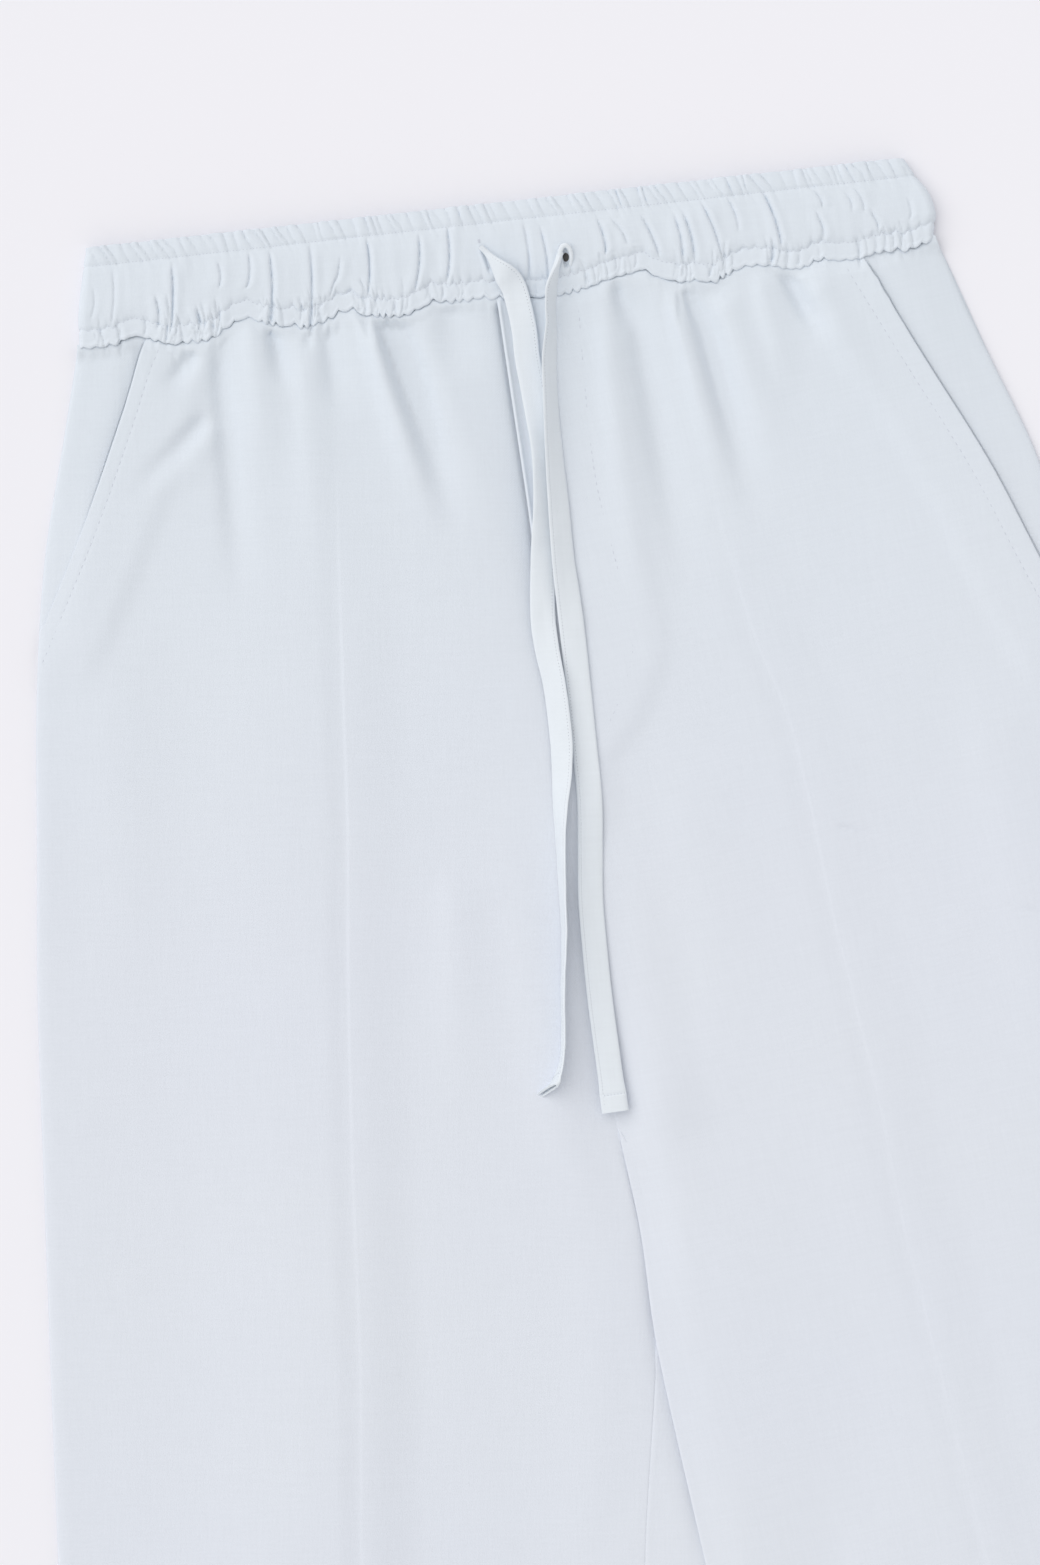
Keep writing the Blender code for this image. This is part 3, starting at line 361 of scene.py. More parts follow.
# Waistband, as in the model, and its fine folds
BAND_SIDES = (
    # height, left end, right end
    (0.0000, -0.1806, 0.1812), (0.0090, -0.1796, 0.1828), (0.0200, -0.1777, 0.1826),
    (0.0270, -0.1762, 0.1805), (0.0330, -0.1750, 0.1770), (0.0410, -0.1735, 0.1730),
)
BAND_SECTION = (
    # height, wall, thickness of the cloth there
    (0.0000, 0.0020, 0.0010),
    (0.0036, 0.0021, 0.0012),
    (0.0068, 0.0021, 0.0012),
    (0.0092, 0.0028, 0.0022),
    (0.0130, 0.0032, 0.0028),
    (0.0200, 0.0033, 0.0030),
    (0.0270, 0.0031, 0.0028),
    (0.0305, 0.0028, 0.0022),
    (0.0332, 0.0025, 0.0011),
    (0.0368, 0.0025, 0.0009),
    (0.0410, 0.0019, 0.0008),
)
BAND_BACK_WALL = 0.0030
BAND_INSIDE_GAP = 0.0006
BAND_SEAM_FOLLOW = (0.0068, 0.0200)
STRIP_STITCH = 0.0070
HEADING_STITCH = 0.0332
HEADING_START = HEADING_STITCH - 0.0008
BAND_STITCHES = (
    # height, left end, right end, stitch, gap
    (STRIP_STITCH, -0.1760, 0.1770, 0.0012, 0.0008),
    (HEADING_STITCH, -0.1710, 0.1700, 0.0009, 0.0006),
)
STITCH_GROOVE = (0.0006, 0.0006)
STITCH_PULL = (0.55, 0.0110)
BAND_FRONT_COLUMNS = 860
BAND_BACK_COLUMNS = 150
BAND_END_COLUMNS = 10

BAND_FOLDS = (
    # x and height at the top, x and height at the foot, depth
    (-0.1715, 0.0240, -0.1737, 0.0114, 0.4), (-0.1627, 0.0304, -0.1656, 0.0084, 0.5),
    (-0.1460, 0.0176, -0.1465, 0.0050, 1.1), (-0.1413, 0.0179, -0.1427, 0.0050, 0.6),
    (-0.1377, 0.0298, -0.1416, 0.0036, 1.2), (-0.1296, 0.0128, -0.1298, 0.0032, 0.9),
    (-0.1274, 0.0139, -0.1272, 0.0037, 0.7), (-0.1237, 0.0092, -0.1234, 0.0037, 0.5),
    (-0.1185, 0.0289, -0.1189, 0.0184, 0.7), (-0.1052, 0.0313, -0.1077, 0.0159, 0.8),
    (-0.0963, 0.0311, -0.0995, -0.0010, 1.1), (-0.0793, 0.0322, -0.0832, -0.0028, 1.0),
    (-0.0843, 0.0100, -0.0856, 0.0059, 0.5), (-0.0774, 0.0109, -0.0789, 0.0051, 0.5),
    (-0.0674, 0.0250, -0.0734, 0.0088, 0.7), (-0.0553, 0.0317, -0.0575, 0.0074, 1.1),
    (-0.0604, 0.0158, -0.0592, 0.0072, 0.6), (-0.0334, 0.0310, -0.0377, 0.0073, 1.1),
    (-0.0212, 0.0338, -0.0241, 0.0080, 1.1), (0.0107, 0.0303, 0.0103, 0.0058, 0.9),
    (0.0175, 0.0283, 0.0182, 0.0041, 0.9), (0.0417, 0.0294, 0.0435, 0.0119, 1.0),
    (0.0475, 0.0288, 0.0530, 0.0176, 0.7), (0.0602, 0.0287, 0.0656, 0.0090, 1.0),
    (0.0736, 0.0280, 0.0754, 0.0092, 0.9), (0.0775, 0.0284, 0.0803, 0.0078, 1.1),
    (0.0858, 0.0313, 0.0920, 0.0070, 1.0), (0.0965, 0.0327, 0.1000, 0.0183, 0.6),
    (0.1118, 0.0335, 0.1172, 0.0097, 1.2), (0.1331, 0.0312, 0.1358, 0.0245, 0.7),
    (0.1330, 0.0223, 0.1349, 0.0086, 0.9), (0.1460, 0.0289, 0.1481, 0.0215, 0.5),
    (0.1503, 0.0301, 0.1531, 0.0209, 0.6), (0.1556, 0.0207, 0.1581, 0.0085, 0.8),
    (0.1716, 0.0240, 0.1717, 0.0134, 0.5),
)
BAND_FOLD_DEPTH = 0.0015
BAND_FOLD_SIDES = (0.00030, 0.00090)
BAND_FOLD_BEND = 0.0010
BAND_FOLD_RUN = (-0.12, 0.14, 0.80, 1.10)
BAND_FOLD_END = (HEADING_STITCH - 0.0010, HEADING_STITCH + 0.0010)
# Ridges beside each fold: their share of its depth, how far off, half width, and how much of it on the left
BAND_RIDGE = (0.35, 0.0020, 0.0020, 0.6)
BAND_LUMPS = (
    # height, size across, size upwards, seed
    (0.00035, 0.0090, 0.0140, 33),
    (0.00012, 0.0030, 0.0100, 34),
)
BAND_LIP = (0.00030, 0.0007)
# Hollows inside the band's back: the gathers of the channel, the ruffles and the lines of stitches
BAND_CHANNEL = (0.0060, 0.0120, 0.0280, 0.0330)
BACK_CHANNEL_HOLLOW = 0.0005
BACK_CHANNEL_UNEVEN = (0.5, 0.0045)
BACK_RUFFLE_HOLLOW = 0.0009
BACK_RUFFLE_SHIFT = 0.0030
BACK_STITCH_HOLLOW = (0.0004, 0.0007)
# Small puckers across the strip, by groups: how far they lean at most, their ends and their depths
PUCKER_LEAN = 0.0012
PUCKER_TOP = (0.0050, 0.0150)
PUCKER_FOOT = (-0.0040, 0.0030)
PUCKER_DEPTH = (0.20, 0.55)
PUCKERS = (
    # middle x, half width, how many
    (-0.1500, 0.0260, 15), (-0.1410, 0.0060, 6), (-0.1260, 0.0060, 9), (-0.0985, 0.0040, 6),
    (-0.0830, 0.0050, 8), (-0.0590, 0.0060, 8), (-0.0450, 0.0040, 6), (-0.0250, 0.0080, 7),
    (0.0120, 0.0100, 6), (0.0400, 0.0070, 9), (0.0530, 0.0060, 6), (0.0750, 0.0040, 7),
    (0.0900, 0.0060, 6), (0.1170, 0.0070, 9), (0.1400, 0.0200, 9), (0.1600, 0.0140, 6),
)
RUFFLES = 84
RUFFLE_HEIGHT = 0.0016
RUFFLE_MIDDLE = 0.45
RUFFLE_FOOT = 0.35
RUFFLE_WIDTHS = (0.5, 1.5)
RUFFLE_SIZES = (0.35, 1.0)
RUFFLE_LEANS = (0.3, 1.5)
RUFFLE_LEAN = 0.45
RUFFLE_SHARPNESS = 0.36
RUFFLE_SCALLOP = 0.0005
RUFFLE_SCALLOP_MIDDLE = 0.6
RUFFLE_PULL = (0.00035, 0.0045)

# Slits that the ties leave through: a sharp lip on the left, then a floor that climbs to the right
BUTTONHOLES = (
    # lip x and height at the top, lip x and height at the foot, width, depth
    (-0.0084, 0.0240, -0.0060, 0.0114, 0.0034, 0.0014),
    (0.0251, 0.0178, 0.0257, 0.0108, 0.0030, 0.0024),
)
BUTTONHOLE_RUN = (-0.10, 0.20, 0.80, 1.05)
BUTTONHOLE_EDGE = 0.0004
BUTTONHOLE_CLIMB = 0.35
BUTTONHOLE_LIP = (0.0003, 0.0006)
BUTTONHOLE_LIP_OUTSIDE = 0.0008
# The bar of stitches above each: its width, how high it starts and the step between its rows
BUTTONHOLE_BAR = 0.0022
BUTTONHOLE_BAR_UP = (0.0012, 0.0004)
# Painted shade: a dark patch on the band in the left tie's buttonhole stands for the shaded inside of the
# channel. Its x and height at the middle, half width and half height, then how far it keeps above the band
BUTTONHOLE_PAINTED_SHADE = (0.0268, 0.0152, 0.0013, 0.0018)
BUTTONHOLE_PAINTED_SHADE_CLEAR = 0.0001

# Drawstring: the model's route, with how far the tie turns from lying flat
TIE_WIDTH = 0.0106
TIE_THICKNESS = 0.0012
TIE_STEP = 0.0015
TIE_FINE = 0.0100
DRAWSTRING_RIGHT = (
    # x, down, z, roll in degrees
    (-0.0105, -0.0225, 0.0116, -50.0),
    (-0.0058, -0.0170, 0.0116, -38.0),
    (-0.0003, -0.0112, 0.0108, -25.0),
    (0.0026, -0.0074, 0.0092, -12.0),
    (0.0042, -0.0029, 0.0083, -8.0),
    (0.0061, 0.0119, 0.0080, -4.0),
    (0.0062, 0.0254, 0.0076, 0.0),
    (0.0075, 0.0424, 0.0080, 4.0),
    (0.0084, 0.0637, 0.0091, 22.0),
    (0.0069, 0.0846, 0.0092, 26.0),
    (0.0035, 0.1096, 0.0078, 10.0),
    (0.0008, 0.1338, 0.0062, -4.0),
    (0.0010, 0.1474, 0.0066, -15.0),
    (0.0024, 0.1619, 0.0070, -27.0),
    (0.0027, 0.1856, 0.0070, -28.0),
    (0.0015, 0.1990, 0.0074, -38.0),
    (-0.0006, 0.2122, 0.0081, -54.0),
    (-0.0022, 0.2270, 0.0083, -68.0),
    (-0.0036, 0.2470, 0.0084, -75.0),
    (-0.0049, 0.2663, 0.0084, -80.0),
    (-0.0070, 0.2813, 0.0084, -83.0),
    (-0.0088, 0.2950, 0.0084, -84.0),
    (-0.0098, 0.3067, 0.0084, -84.0),
    (-0.0116, 0.3184, 0.0084, -84.0),
    (-0.0138, 0.3240, 0.0084, -82.0),
    (-0.0165, 0.3282, 0.0084, -80.0),
    (-0.0192, 0.3309, 0.0084, -76.0),
)
DRAWSTRING_LEFT = (
    (0.0256, -0.0165, 0.0124, 60.0),
    (0.0222, -0.0090, 0.0124, 60.0),
    (0.0195, -0.0027, 0.0119, 62.0),
    (0.0182, 0.0047, 0.0119, 65.0),
    (0.0175, 0.0123, 0.0119, 65.0),
    (0.0152, 0.0264, 0.0116, 55.0),
    (0.0139, 0.0431, 0.0113, 55.0),
    (0.0129, 0.0642, 0.0109, 46.0),
    (0.0124, 0.0852, 0.0100, 35.0),
    (0.0118, 0.1105, 0.0090, 26.0),
    (0.0123, 0.1359, 0.0072, 7.0),
    (0.0123, 0.1613, 0.0061, 2.0),
    (0.0121, 0.1866, 0.0056, 0.0),
    (0.0118, 0.2119, 0.0054, 0.0),
    (0.0098, 0.2328, 0.0044, 5.0),
    (0.0077, 0.2537, 0.0045, 9.0),
    (0.0071, 0.2748, 0.0045, 8.0),
    (0.0070, 0.2959, 0.0046, 4.0),
    (0.0076, 0.3213, 0.0055, 0.0),
    (0.0082, 0.3429, 0.0064, 0.0),
)
TIE_FACE_POINTS = 13
TIE_RUN = 12
TIE_FLATNESS = 7
TIE_PINCH = (0.0016, 0.0190)
TIE_PINCH_THICKER = 0.9
TIE_STITCH = (0.0008, 0.0006)
TIE_STITCH_RADIUS = 0.00014
TIE_STITCH_U = 1.0 - 0.0014 / (TIE_WIDTH / 2)
TIE_STITCH_GROOVE = (0.30, 0.05)
TIE_HEM = 0.0075
TIE_HEM_WIDTH = 0.0005
TIE_HEM_STITCHED = 0.92
TIE_END_WIDER = (0.07, 0.0140, 0.0060)
TIE_CUP = (0.0004, 0.0350)
TIE_CUP_MIDDLE = 0.4
TIE_WOBBLE = (0.00012, 0.0060)
TIE_SLANT_LENGTH = 0.0160
# The hollow end: how much of its width and thickness is left inside, and how deep it is
TIE_END_INSIDE = (0.88, 0.42, 0.0026)
TIE_START_INSIDE = 0.0010
# Start: how far the pinched tie lies to the left of its middle and above it. End: how much thicker it is,
# over what length, how far it is cut aslant, and its hem's groove. Then the edge that is stitched, and the
# seed of its unevenness.
TIE_FORM_RIGHT = ((-0.0029, -0.0030), (2.3, 0.0045, 0.0050, 0.0), -1.0, 1)
TIE_FORM_LEFT = ((0.0011, -0.0037), (1.8, 0.0006, 0.0, 0.45), 1.0, 2)
# The left tie's turned-back bit round its buttonhole, and how much higher it is than wide
TIE_HOOK_HIGHER = 1.3
TIE_HOOK_SQUASH = 0.25
TIE_HOOK = (
    # x, down, z, radius
    (0.0241, -0.0150, 0.0087, 0.00090),
    (0.0247, -0.0176, 0.0089, 0.00105),
    (0.0260, -0.0196, 0.0090, 0.00110),
    (0.0277, -0.0196, 0.0088, 0.00110),
    (0.0289, -0.0176, 0.0083, 0.00100),
    (0.0291, -0.0146, 0.0076, 0.00090),
    (0.0283, -0.0116, 0.0064, 0.00070),
)

# Stitches: their thickness, how they dip and thin out at their ends, their lengths and gaps, and how far
# the rows keep from the edges
STITCH_RADIUS = 0.00016
STITCH_DIP = 0.00030
STITCH_END = 0.55
STITCH_SIDES = 5
STITCH_PARTS = 8
FRONT_STITCH = (0.0022, 0.0010)
HEM_STITCHES = (0.0028, 0.0012)
BAR_STITCH = (0.0018, 0.0100)
STITCHES_START = 0.0040
STITCHES_SHORT = 0.0020
STITCHES_INSIDE = 0.0010
HEM_STITCHED = (0.004, 0.996)

# Shells: how far the rounded edge bulges, and how deep its two middle lines lie, as shares of the thickness
SHELL_BULGE = 0.35
SHELL_EDGE = (0.22, 0.78)

# Colours, linear
CLOTH_COLOURS = {
    "cool": (0.752, 0.784, 0.862, 1.0),
    "warm": (0.766, 0.797, 0.850, 1.0),
    "waist": (0.744, 0.796, 0.858, 1.0),
}
TIE_COLOUR = (0.785, 0.828, 0.874, 1.0)
THREAD_COLOUR = (0.640, 0.670, 0.740)
TIE_THREAD_COLOUR = (0.420, 0.440, 0.490)
THREAD_SHADE = 0.92
# Painted shade: a near-black finish for the patch in the buttonhole, standing for the shaded inside of the
# channel
PAINTED_SHADE_FINISH = {"Base Color": (0.110, 0.105, 0.100, 1.0), "Roughness": 1.0, "Specular IOR Level": 0.0}
FLOOR_FINISH = {"Base Color": (0.888, 0.880, 0.923, 1.0), "Roughness": 0.9, "Specular IOR Level": 0.0}
FLOOR_SIZE = 4.0
FLOOR_HEIGHT = -0.0003
# Where the cloth takes its colour near the waist, by Y
WAIST_COLOUR_FROM = (0.2300, 0.4800)

# Cotton: the pitch of its threads, its slubs and bump, and the shader's values
THREAD_PITCH = 0.00055
SLUB_SCALES = ((900.0, 60.0, 60.0), (60.0, 900.0, 60.0))
SLUB_HEIGHT = 0.8
SLUB_SHADE = {"From Min": 0.5, "From Max": 1.5, "To Min": 0.75, "To Max": 1.1}
WEAVE_SHADE = 0.10
WEAVE_BUMP = 0.35
WEAVE_DEPTH = 0.00012
PATCH_SCALE = 7.0
TWIST_SCALE = 3000.0
COTTON_FINISH = {
    "Roughness": 0.88, "Specular IOR Level": 0.12, "Sheen Weight": 0.04, "Sheen Roughness": 0.45,
}
THREAD_FINISH = {"Roughness": 0.6, "Sheen Weight": 0.1}

# Light: the key's strength and softness, how far it tilts from straight down and to which side
KEY_LIGHT = 1.30
KEY_SOFTNESS = math.radians(75.0)
KEY_TILT = math.radians(36.0)
KEY_SIDE = math.radians(234.0)
WALL_LIGHT = 0.30
CEILING_LIGHT = 0.600


def smoothstep(start, end, value):
    """0 at start, 1 at end, with a soft run between them."""
    t = np.clip((value - start) / (end - start), 0.0, 1.0)
    return t * t * (3.0 - 2.0 * t)


def bell(distance, width):
    """1 in the middle, fading to both sides."""
    return np.exp(-((distance / width) ** 2))


def window(stops, value):
    """0, then 1 between the two middle stops, then 0 again."""
    return smoothstep(*stops[:2], value) * (1.0 - smoothstep(*stops[2:], value))


def fading(form, distance):
    """A height that fades away from a line: form is the height and how far it reaches."""
    return form[0] * np.exp(-np.maximum(distance, 0.0) / form[1])


def ridge(form, distance):
    """A round ridge or groove along a line: form is its height and half its width."""
    return form[0] * bell(distance, form[1])


def along_table(rows, value, column=1):
    """Values of one column of a table of rows, on a smooth curve through its points."""
    table = np.array(rows, dtype=float)
    keys = table[:, 0]
    goals = table[:, column]
    before = np.maximum(np.arange(len(keys)) - 1, 0)
    after = np.minimum(np.arange(len(keys)) + 1, len(keys) - 1)
    slopes = (goals[after] - goals[before]) / (keys[after] - keys[before])
    value = np.clip(np.asarray(value, dtype=float), keys[0], keys[-1])
    k = np.clip(np.searchsorted(keys, value) - 1, 0, len(keys) - 2)
    width = keys[k + 1] - keys[k]
    t = (value - keys[k]) / width
    return (
        (2 * t ** 3 - 3 * t ** 2 + 1) * goals[k]
        + (t ** 3 - 2 * t ** 2 + t) * width * slopes[k]
        + (3 * t ** 2 - 2 * t ** 3) * goals[k + 1]
        + (t ** 3 - t ** 2) * width * slopes[k + 1]
    )


def soft_noise(x, y, seed):
    """Smooth uneven values between -1 and 1, one patch to each unit of x and y."""
    grid = np.random.default_rng(seed).uniform(-1.0, 1.0, (128, 128))
    x, y = np.broadcast_arrays(x, y)
    column = np.floor(x).astype(int)
    row = np.floor(y).astype(int)
    right = smoothstep(0.0, 1.0, x - column)
    up = smoothstep(0.0, 1.0, y - row)

    def corner(i, j):
        return grid[(column + i) % 128, (row + j) % 128]

    low = corner(0, 0) * (1.0 - right) + corner(1, 0) * right
    high = corner(0, 1) * (1.0 - right) + corner(1, 1) * right
    return low * (1.0 - up) + high * up


def uneven(form, x, row, seed):
    """Uneven values along a line: form is their height and how far apart they are."""
    return form[0] * soft_noise(x / form[1], row, seed)


def patches(form, x, row, seed):
    """Uneven strength along a line: 1 in some stretches, and less by the form's share in others."""
    share, size, low, high = form
    return 1.0 - share + share * smoothstep(low, high, soft_noise(x / size, row, seed))


def turned_down(form, distance):
    """How far cloth turns down towards its edge, on a quarter round: form is the depth and the width."""
    depth, width = form
    t = np.clip(distance / width, 0.0, 1.0)
    return depth * (1.0 - np.sqrt(np.clip(1.0 - (1.0 - t) ** 2, 0.0, 1.0)))


def crowded(count):
    """Values from 0 to 1 that lie closer together towards both ends."""
    t = np.linspace(0.0, 1.0, count)
    return t - CROWDING * np.sin(2.0 * np.pi * t) / (2.0 * np.pi)


def steps_between(stops):
    """Values through a list of (start, step) pairs, up to the last start."""
    values = []
    for (start, step), (end, _) in zip(stops, stops[1:]):
        values += list(np.linspace(start, end, max(round((end - start) / step), 1), endpoint=False))
    return np.array(values + [stops[-1][0]])


def leg_at(leg, down, name):
    """One named edge or line of a leg at a distance down."""
    return along_table(leg["rows"], down, LEG_COLUMNS.index(name))


def centre_line(down):
    """The centre front and centre back, from the waist to the crotch."""
    return leg_at(LEFT_LEG, np.minimum(down, CROTCH_DOWN), "inseam")


def seam_rise(x):
    """Height of the waist seam above its zero, with small lobes that grow and fade along it."""
    phase = x / SEAM_RIPPLE_SIZE + uneven(SEAM_RIPPLE_DRIFT, x, 0.5, 3)
    size = 1.0 - SEAM_RIPPLE_UNEVEN[0] + uneven(SEAM_RIPPLE_UNEVEN, x, 2.5, 5)
    strength = size * patches(SEAM_RIPPLE_PATCHES, x, 0.5, 4)
    lobes = strength * (SEAM_RIPPLE_MIDDLE - np.abs(np.sin(np.pi * phase)))
    return along_table(SEAM_LINE, x) + SEAM_RIPPLE * lobes + uneven(SEAM_KINK, x, 1.5, 6)


def back_seam_rise(x):
    """Height of the waist seam on the backs."""
    return BACK_SEAM_SLOPE * np.maximum(x - BACK_SEAM_BEND, 0.0)


def fold_height(folds, x, down):
    """Sum of a table's folds: each steeper on its left side than on its right."""
    total = np.zeros_like(x)
    for top_x, top_down, foot_x, foot_down, width, height in folds:
        run = math.hypot(foot_x - top_x, foot_down - top_down)
        along_x = (foot_x - top_x) / run
        along_down = (foot_down - top_down) / run
        t = ((x - top_x) * along_x + (down - top_down) * along_down) / run
        across = (x - top_x) * along_down - (down - top_down) * along_x
        wider = FOLD_WIDENS[0] + (FOLD_WIDENS[1] - FOLD_WIDENS[0]) * np.clip(t, -0.2, 1.2)
        reach = width * wider * np.where(across < 0.0, *FOLD_FLANKS)
        total += height * window(FOLD_RUN, t) * bell(across, reach)
    return total


def crease_height(leg, x, down):
    """The pressed crease down the middle of each front."""
    distance = x - leg_at(leg, down, "crease")
    crown, dip, climb = (
        height * smoothstep(start, end, distance)
        for start, end, height in (CREASE_CROWN, CREASE_DIP, CREASE_CLIMB)
    )
    low = CREASE_LOW[2] * smoothstep(*CREASE_LOW[:2], down)
    share = leg["crease_share"] * smoothstep(*CREASE_START, down)
    after = 1.0 - smoothstep(0.0, CREASE_AFTER, distance)
    return share * (crown * (1.0 + low) - dip + climb * (1.0 - low)) * after


def uneven_waves(x, down):
    """Low uneven waves over a whole panel."""
    total = np.zeros_like(x)
    for size, height, stretch, seed in WAVES:
        total += height * soft_noise(x / size + 40.0, down / (size * stretch) + 40.0, seed)
    return total


def seam_wrinkles(x, down):
    """Short wrinkles that run down from the gathered seam."""
    across = x / SEAM_WRINKLE_SIZE + 90.0
    wave = soft_noise(across, down / (SEAM_WRINKLE_SIZE * SEAM_WRINKLE_STRETCH), 21)
    share, size = SEAM_WRINKLE_UNEVEN
    return wave * (1.0 - share + share * soft_noise(x / size + 20.0, 0.5, 22)) * fading(SEAM_WRINKLE, down)


def crossing_rise(x, down):
    """How far the left leg is lifted where it lies over the right one."""
    fold = leg_at(RIGHT_LEG, np.maximum(down, CROTCH_DOWN), "fold") + CROSSING_MARGIN
    beside = 1.0 - smoothstep(fold, fold + CROSSING_FADE, x)
    return CROSSING_RISE * beside * smoothstep(*CROSSING_START, down)


def front_base(leg, x, down):
    """Underside of the solid front where nothing but a back lies under it, with the shell's folds."""
    side = smoothstep(0.0, SIDE_ROUNDING, np.abs(leg_at(leg, down, "outer") - x))
    rise = WAIST_RISE * (1.0 - smoothstep(0.0, WAIST_RISE_LENGTH, down))
    pucker = along_table(SEAM_LINE, x) * fading(SEAM_PUCKER, down)
    soft = rise + pucker + FOLD_LOFT * fold_height(FOLDS, x, down) + fold_height(SMALL_FOLDS, x, down)
    soft += crease_height(leg, x, down) + uneven_waves(x, down) + seam_wrinkles(x, down)
    floor = -(LAYER - SHELL - 2.0 * SHELL_CLEAR)
    return LAYER + np.maximum(soft, floor) * side


def inseam_valley(inner, down):
    """How far the legs sink towards the centre, above the crotch and a little below it."""
    start, end, share = INSEAM_FADE
    reach = smoothstep(*INSEAM_REACH, down) * (1.0 - share * smoothstep(start, end, down))
    return (fading(INSEAM_VALLEY, inner) - ridge(INSEAM_MOUND, inner - INSEAM_MOUND_INSIDE)) * reach


def leg_dip(x, down):
    """How far the right leg sinks beside the left leg's edge, below the crotch."""
    width = LEG_DIP[1] * (LEG_DIP_NARROW + (1.0 - LEG_DIP_NARROW) * smoothstep(*LEG_DIP_WIDENS, down))
    beside = np.exp(-np.maximum(leg_at(LEFT_LEG, down, "inseam") - x, 0.0) / width)
    return LEG_DIP[0] * beside * smoothstep(CROTCH_DOWN, CROTCH_DOWN + LEG_DIP_START, down)


def edge_lift(x, down, steps):
    """The left leg's lift beside its inner edge, as a share: none, and a part of it below each step."""
    share = sum(part * smoothstep(start, end, down) for start, end, part in steps)
    inner = np.abs(x - leg_at(LEFT_LEG, down, "inseam"))
    beside = 1.0 - smoothstep(0.0, INNER_EDGE_FADE, inner)
    return 1.0 - beside * smoothstep(*INNER_EDGE, down) * (1.0 - share)


def pocket_edge(leg, down):
    """The slanted opening, from the waist seam to the side."""
    return along_table(leg["pocket"], down)


def pocket_lift(leg, x, down):
    """How far a front is lifted over the side piece of its pocket."""
    inside = leg["side"] * (pocket_edge(leg, down) - x)
    across = 1.0 - smoothstep(*POCKET_LIFT, inside)
    return LAYER * across * (1.0 - smoothstep(*POCKET_LIFT_END, down - leg["pocket_end"]))


def pocket_closed(leg, down):
    """1 where a pocket's edge lies close on its side piece, 0 where the pocket is open."""
    return leg["pocket_closes"] * smoothstep(*POCKET_CLOSES, down)


def fly_edge(down):
    """The J of the fly's stitching, which is the facing's edge too."""
    return centre_line(down) + along_table(FLY_EDGE, down)


def fly_lift(x, down):
    """How far the left front is lifted over the fly facing."""
    across = 1.0 - smoothstep(*FLY_LIFT, x - fly_edge(down))
    return LAYER * across * (1.0 - smoothstep(*FLY_LIFT_END, down))


def garment_points(x, down, z):
    """Garment points in the object's own frame, as one array."""
    x, down, z = np.broadcast_arrays(x, down, z)
    return np.stack([x + GARMENT_ZERO[0], GARMENT_ZERO[1] - down, z], axis=-1)


def hem_shift(leg, x, down):
    """How far a point moves down as its leg's rows turn square to the splayed crease."""
    slant = smoothstep(*HEM_TURN, down) * leg["hem_slope"]
    return -slant * (x - leg_at(leg, down, "crease"))


def row_shift(leg, x, down):
    """The seam's waves at the top, the slant of the hem below."""
    wave = seam_rise(x) * np.exp(-((np.maximum(down, 0.0) / SEAM_WAVE_FADE) ** 2))
    return hem_shift(leg, x, down) - wave


def open_fly(down):
    """1 along the fly's opening, 0 below it."""
    return 1.0 - smoothstep(*FLY_CLOSE, down)


def front_inner(leg, down):
    """Inner edge of a front: under or over the other along the fly, then the centre and the inseam."""
    edge = leg_at(leg, down, "inseam")
    below = smoothstep(*BELOW_CROTCH, down)
    if leg is RIGHT_LEG:
        return edge - SEAM_GAP / 2 + open_fly(down) * FLY_UNDERLAP + SEAM_CLOSED * below
    return edge + SEAM_GAP / 2 - 3.0 * SEAM_CLOSED * (1.0 - open_fly(down)) * (1.0 - below)


def front_outer(leg, down):
    """Outer edge of a front: the pocket's opening, then the side seam."""
    side = leg["side"]
    outer = leg_at(leg, down, "outer")
    opening = side * np.minimum(side * outer, side * pocket_edge(leg, down))
    return np.where(down < leg["pocket_end"], opening, outer)


def tucked(x, down, top, below=0.0):
    """A top face led under the band's lower edge, with a narrow groove right beside it."""
    groove = patches(TUCK_PATCHES, x, 0.5, 77) * fading(TUCK_GROOVE, down)
    goal = band_front_height(x, np.zeros_like(x)) - TUCK_DEPTH - groove - below
    return top + (goal - top) * (1.0 - smoothstep(0.0, TUCK_LENGTH, down))


def left_relief(x, inner, down):
    """The left front towards its inner edge: the fly, then the edge that lies over the right leg."""
    legs_apart = smoothstep(*LEGS_APART, down)
    relief = (fly_lift(x, down) + crossing_rise(x, down)) * edge_lift(x, down, LEG_STEPS_FRONT)
    relief -= open_fly(down) * turned_down(FOLD_TURN, inner)
    relief -= legs_apart * turned_down(LEG_TURN, inner)
    relief -= inseam_valley(inner, down) * (1.0 - legs_apart)
    for height, inside, width, start, end in FLY_RELIEF:
        relief += height * bell(inner - inside, width) * (1.0 - smoothstep(start, end, down))
    return relief - ridge(FLY_STITCH_GROOVE, x - fly_edge(down)) * (down < FLY_DOWN)


def right_relief(x, inner, down):
    """The right front towards its inner edge: the valley beside the fly, then beside the left leg."""
    relief = -smoothstep(*LEGS_APART, down) * turned_down(SEAM_TURN, inner)
    relief -= inseam_valley(inner, down) + leg_dip(x, down)
    valley = sum(fading(form, centre_line(down) - x) for form in FLY_VALLEYS)
    return relief - valley * (1.0 - smoothstep(*FLY_VALLEY_END, down))


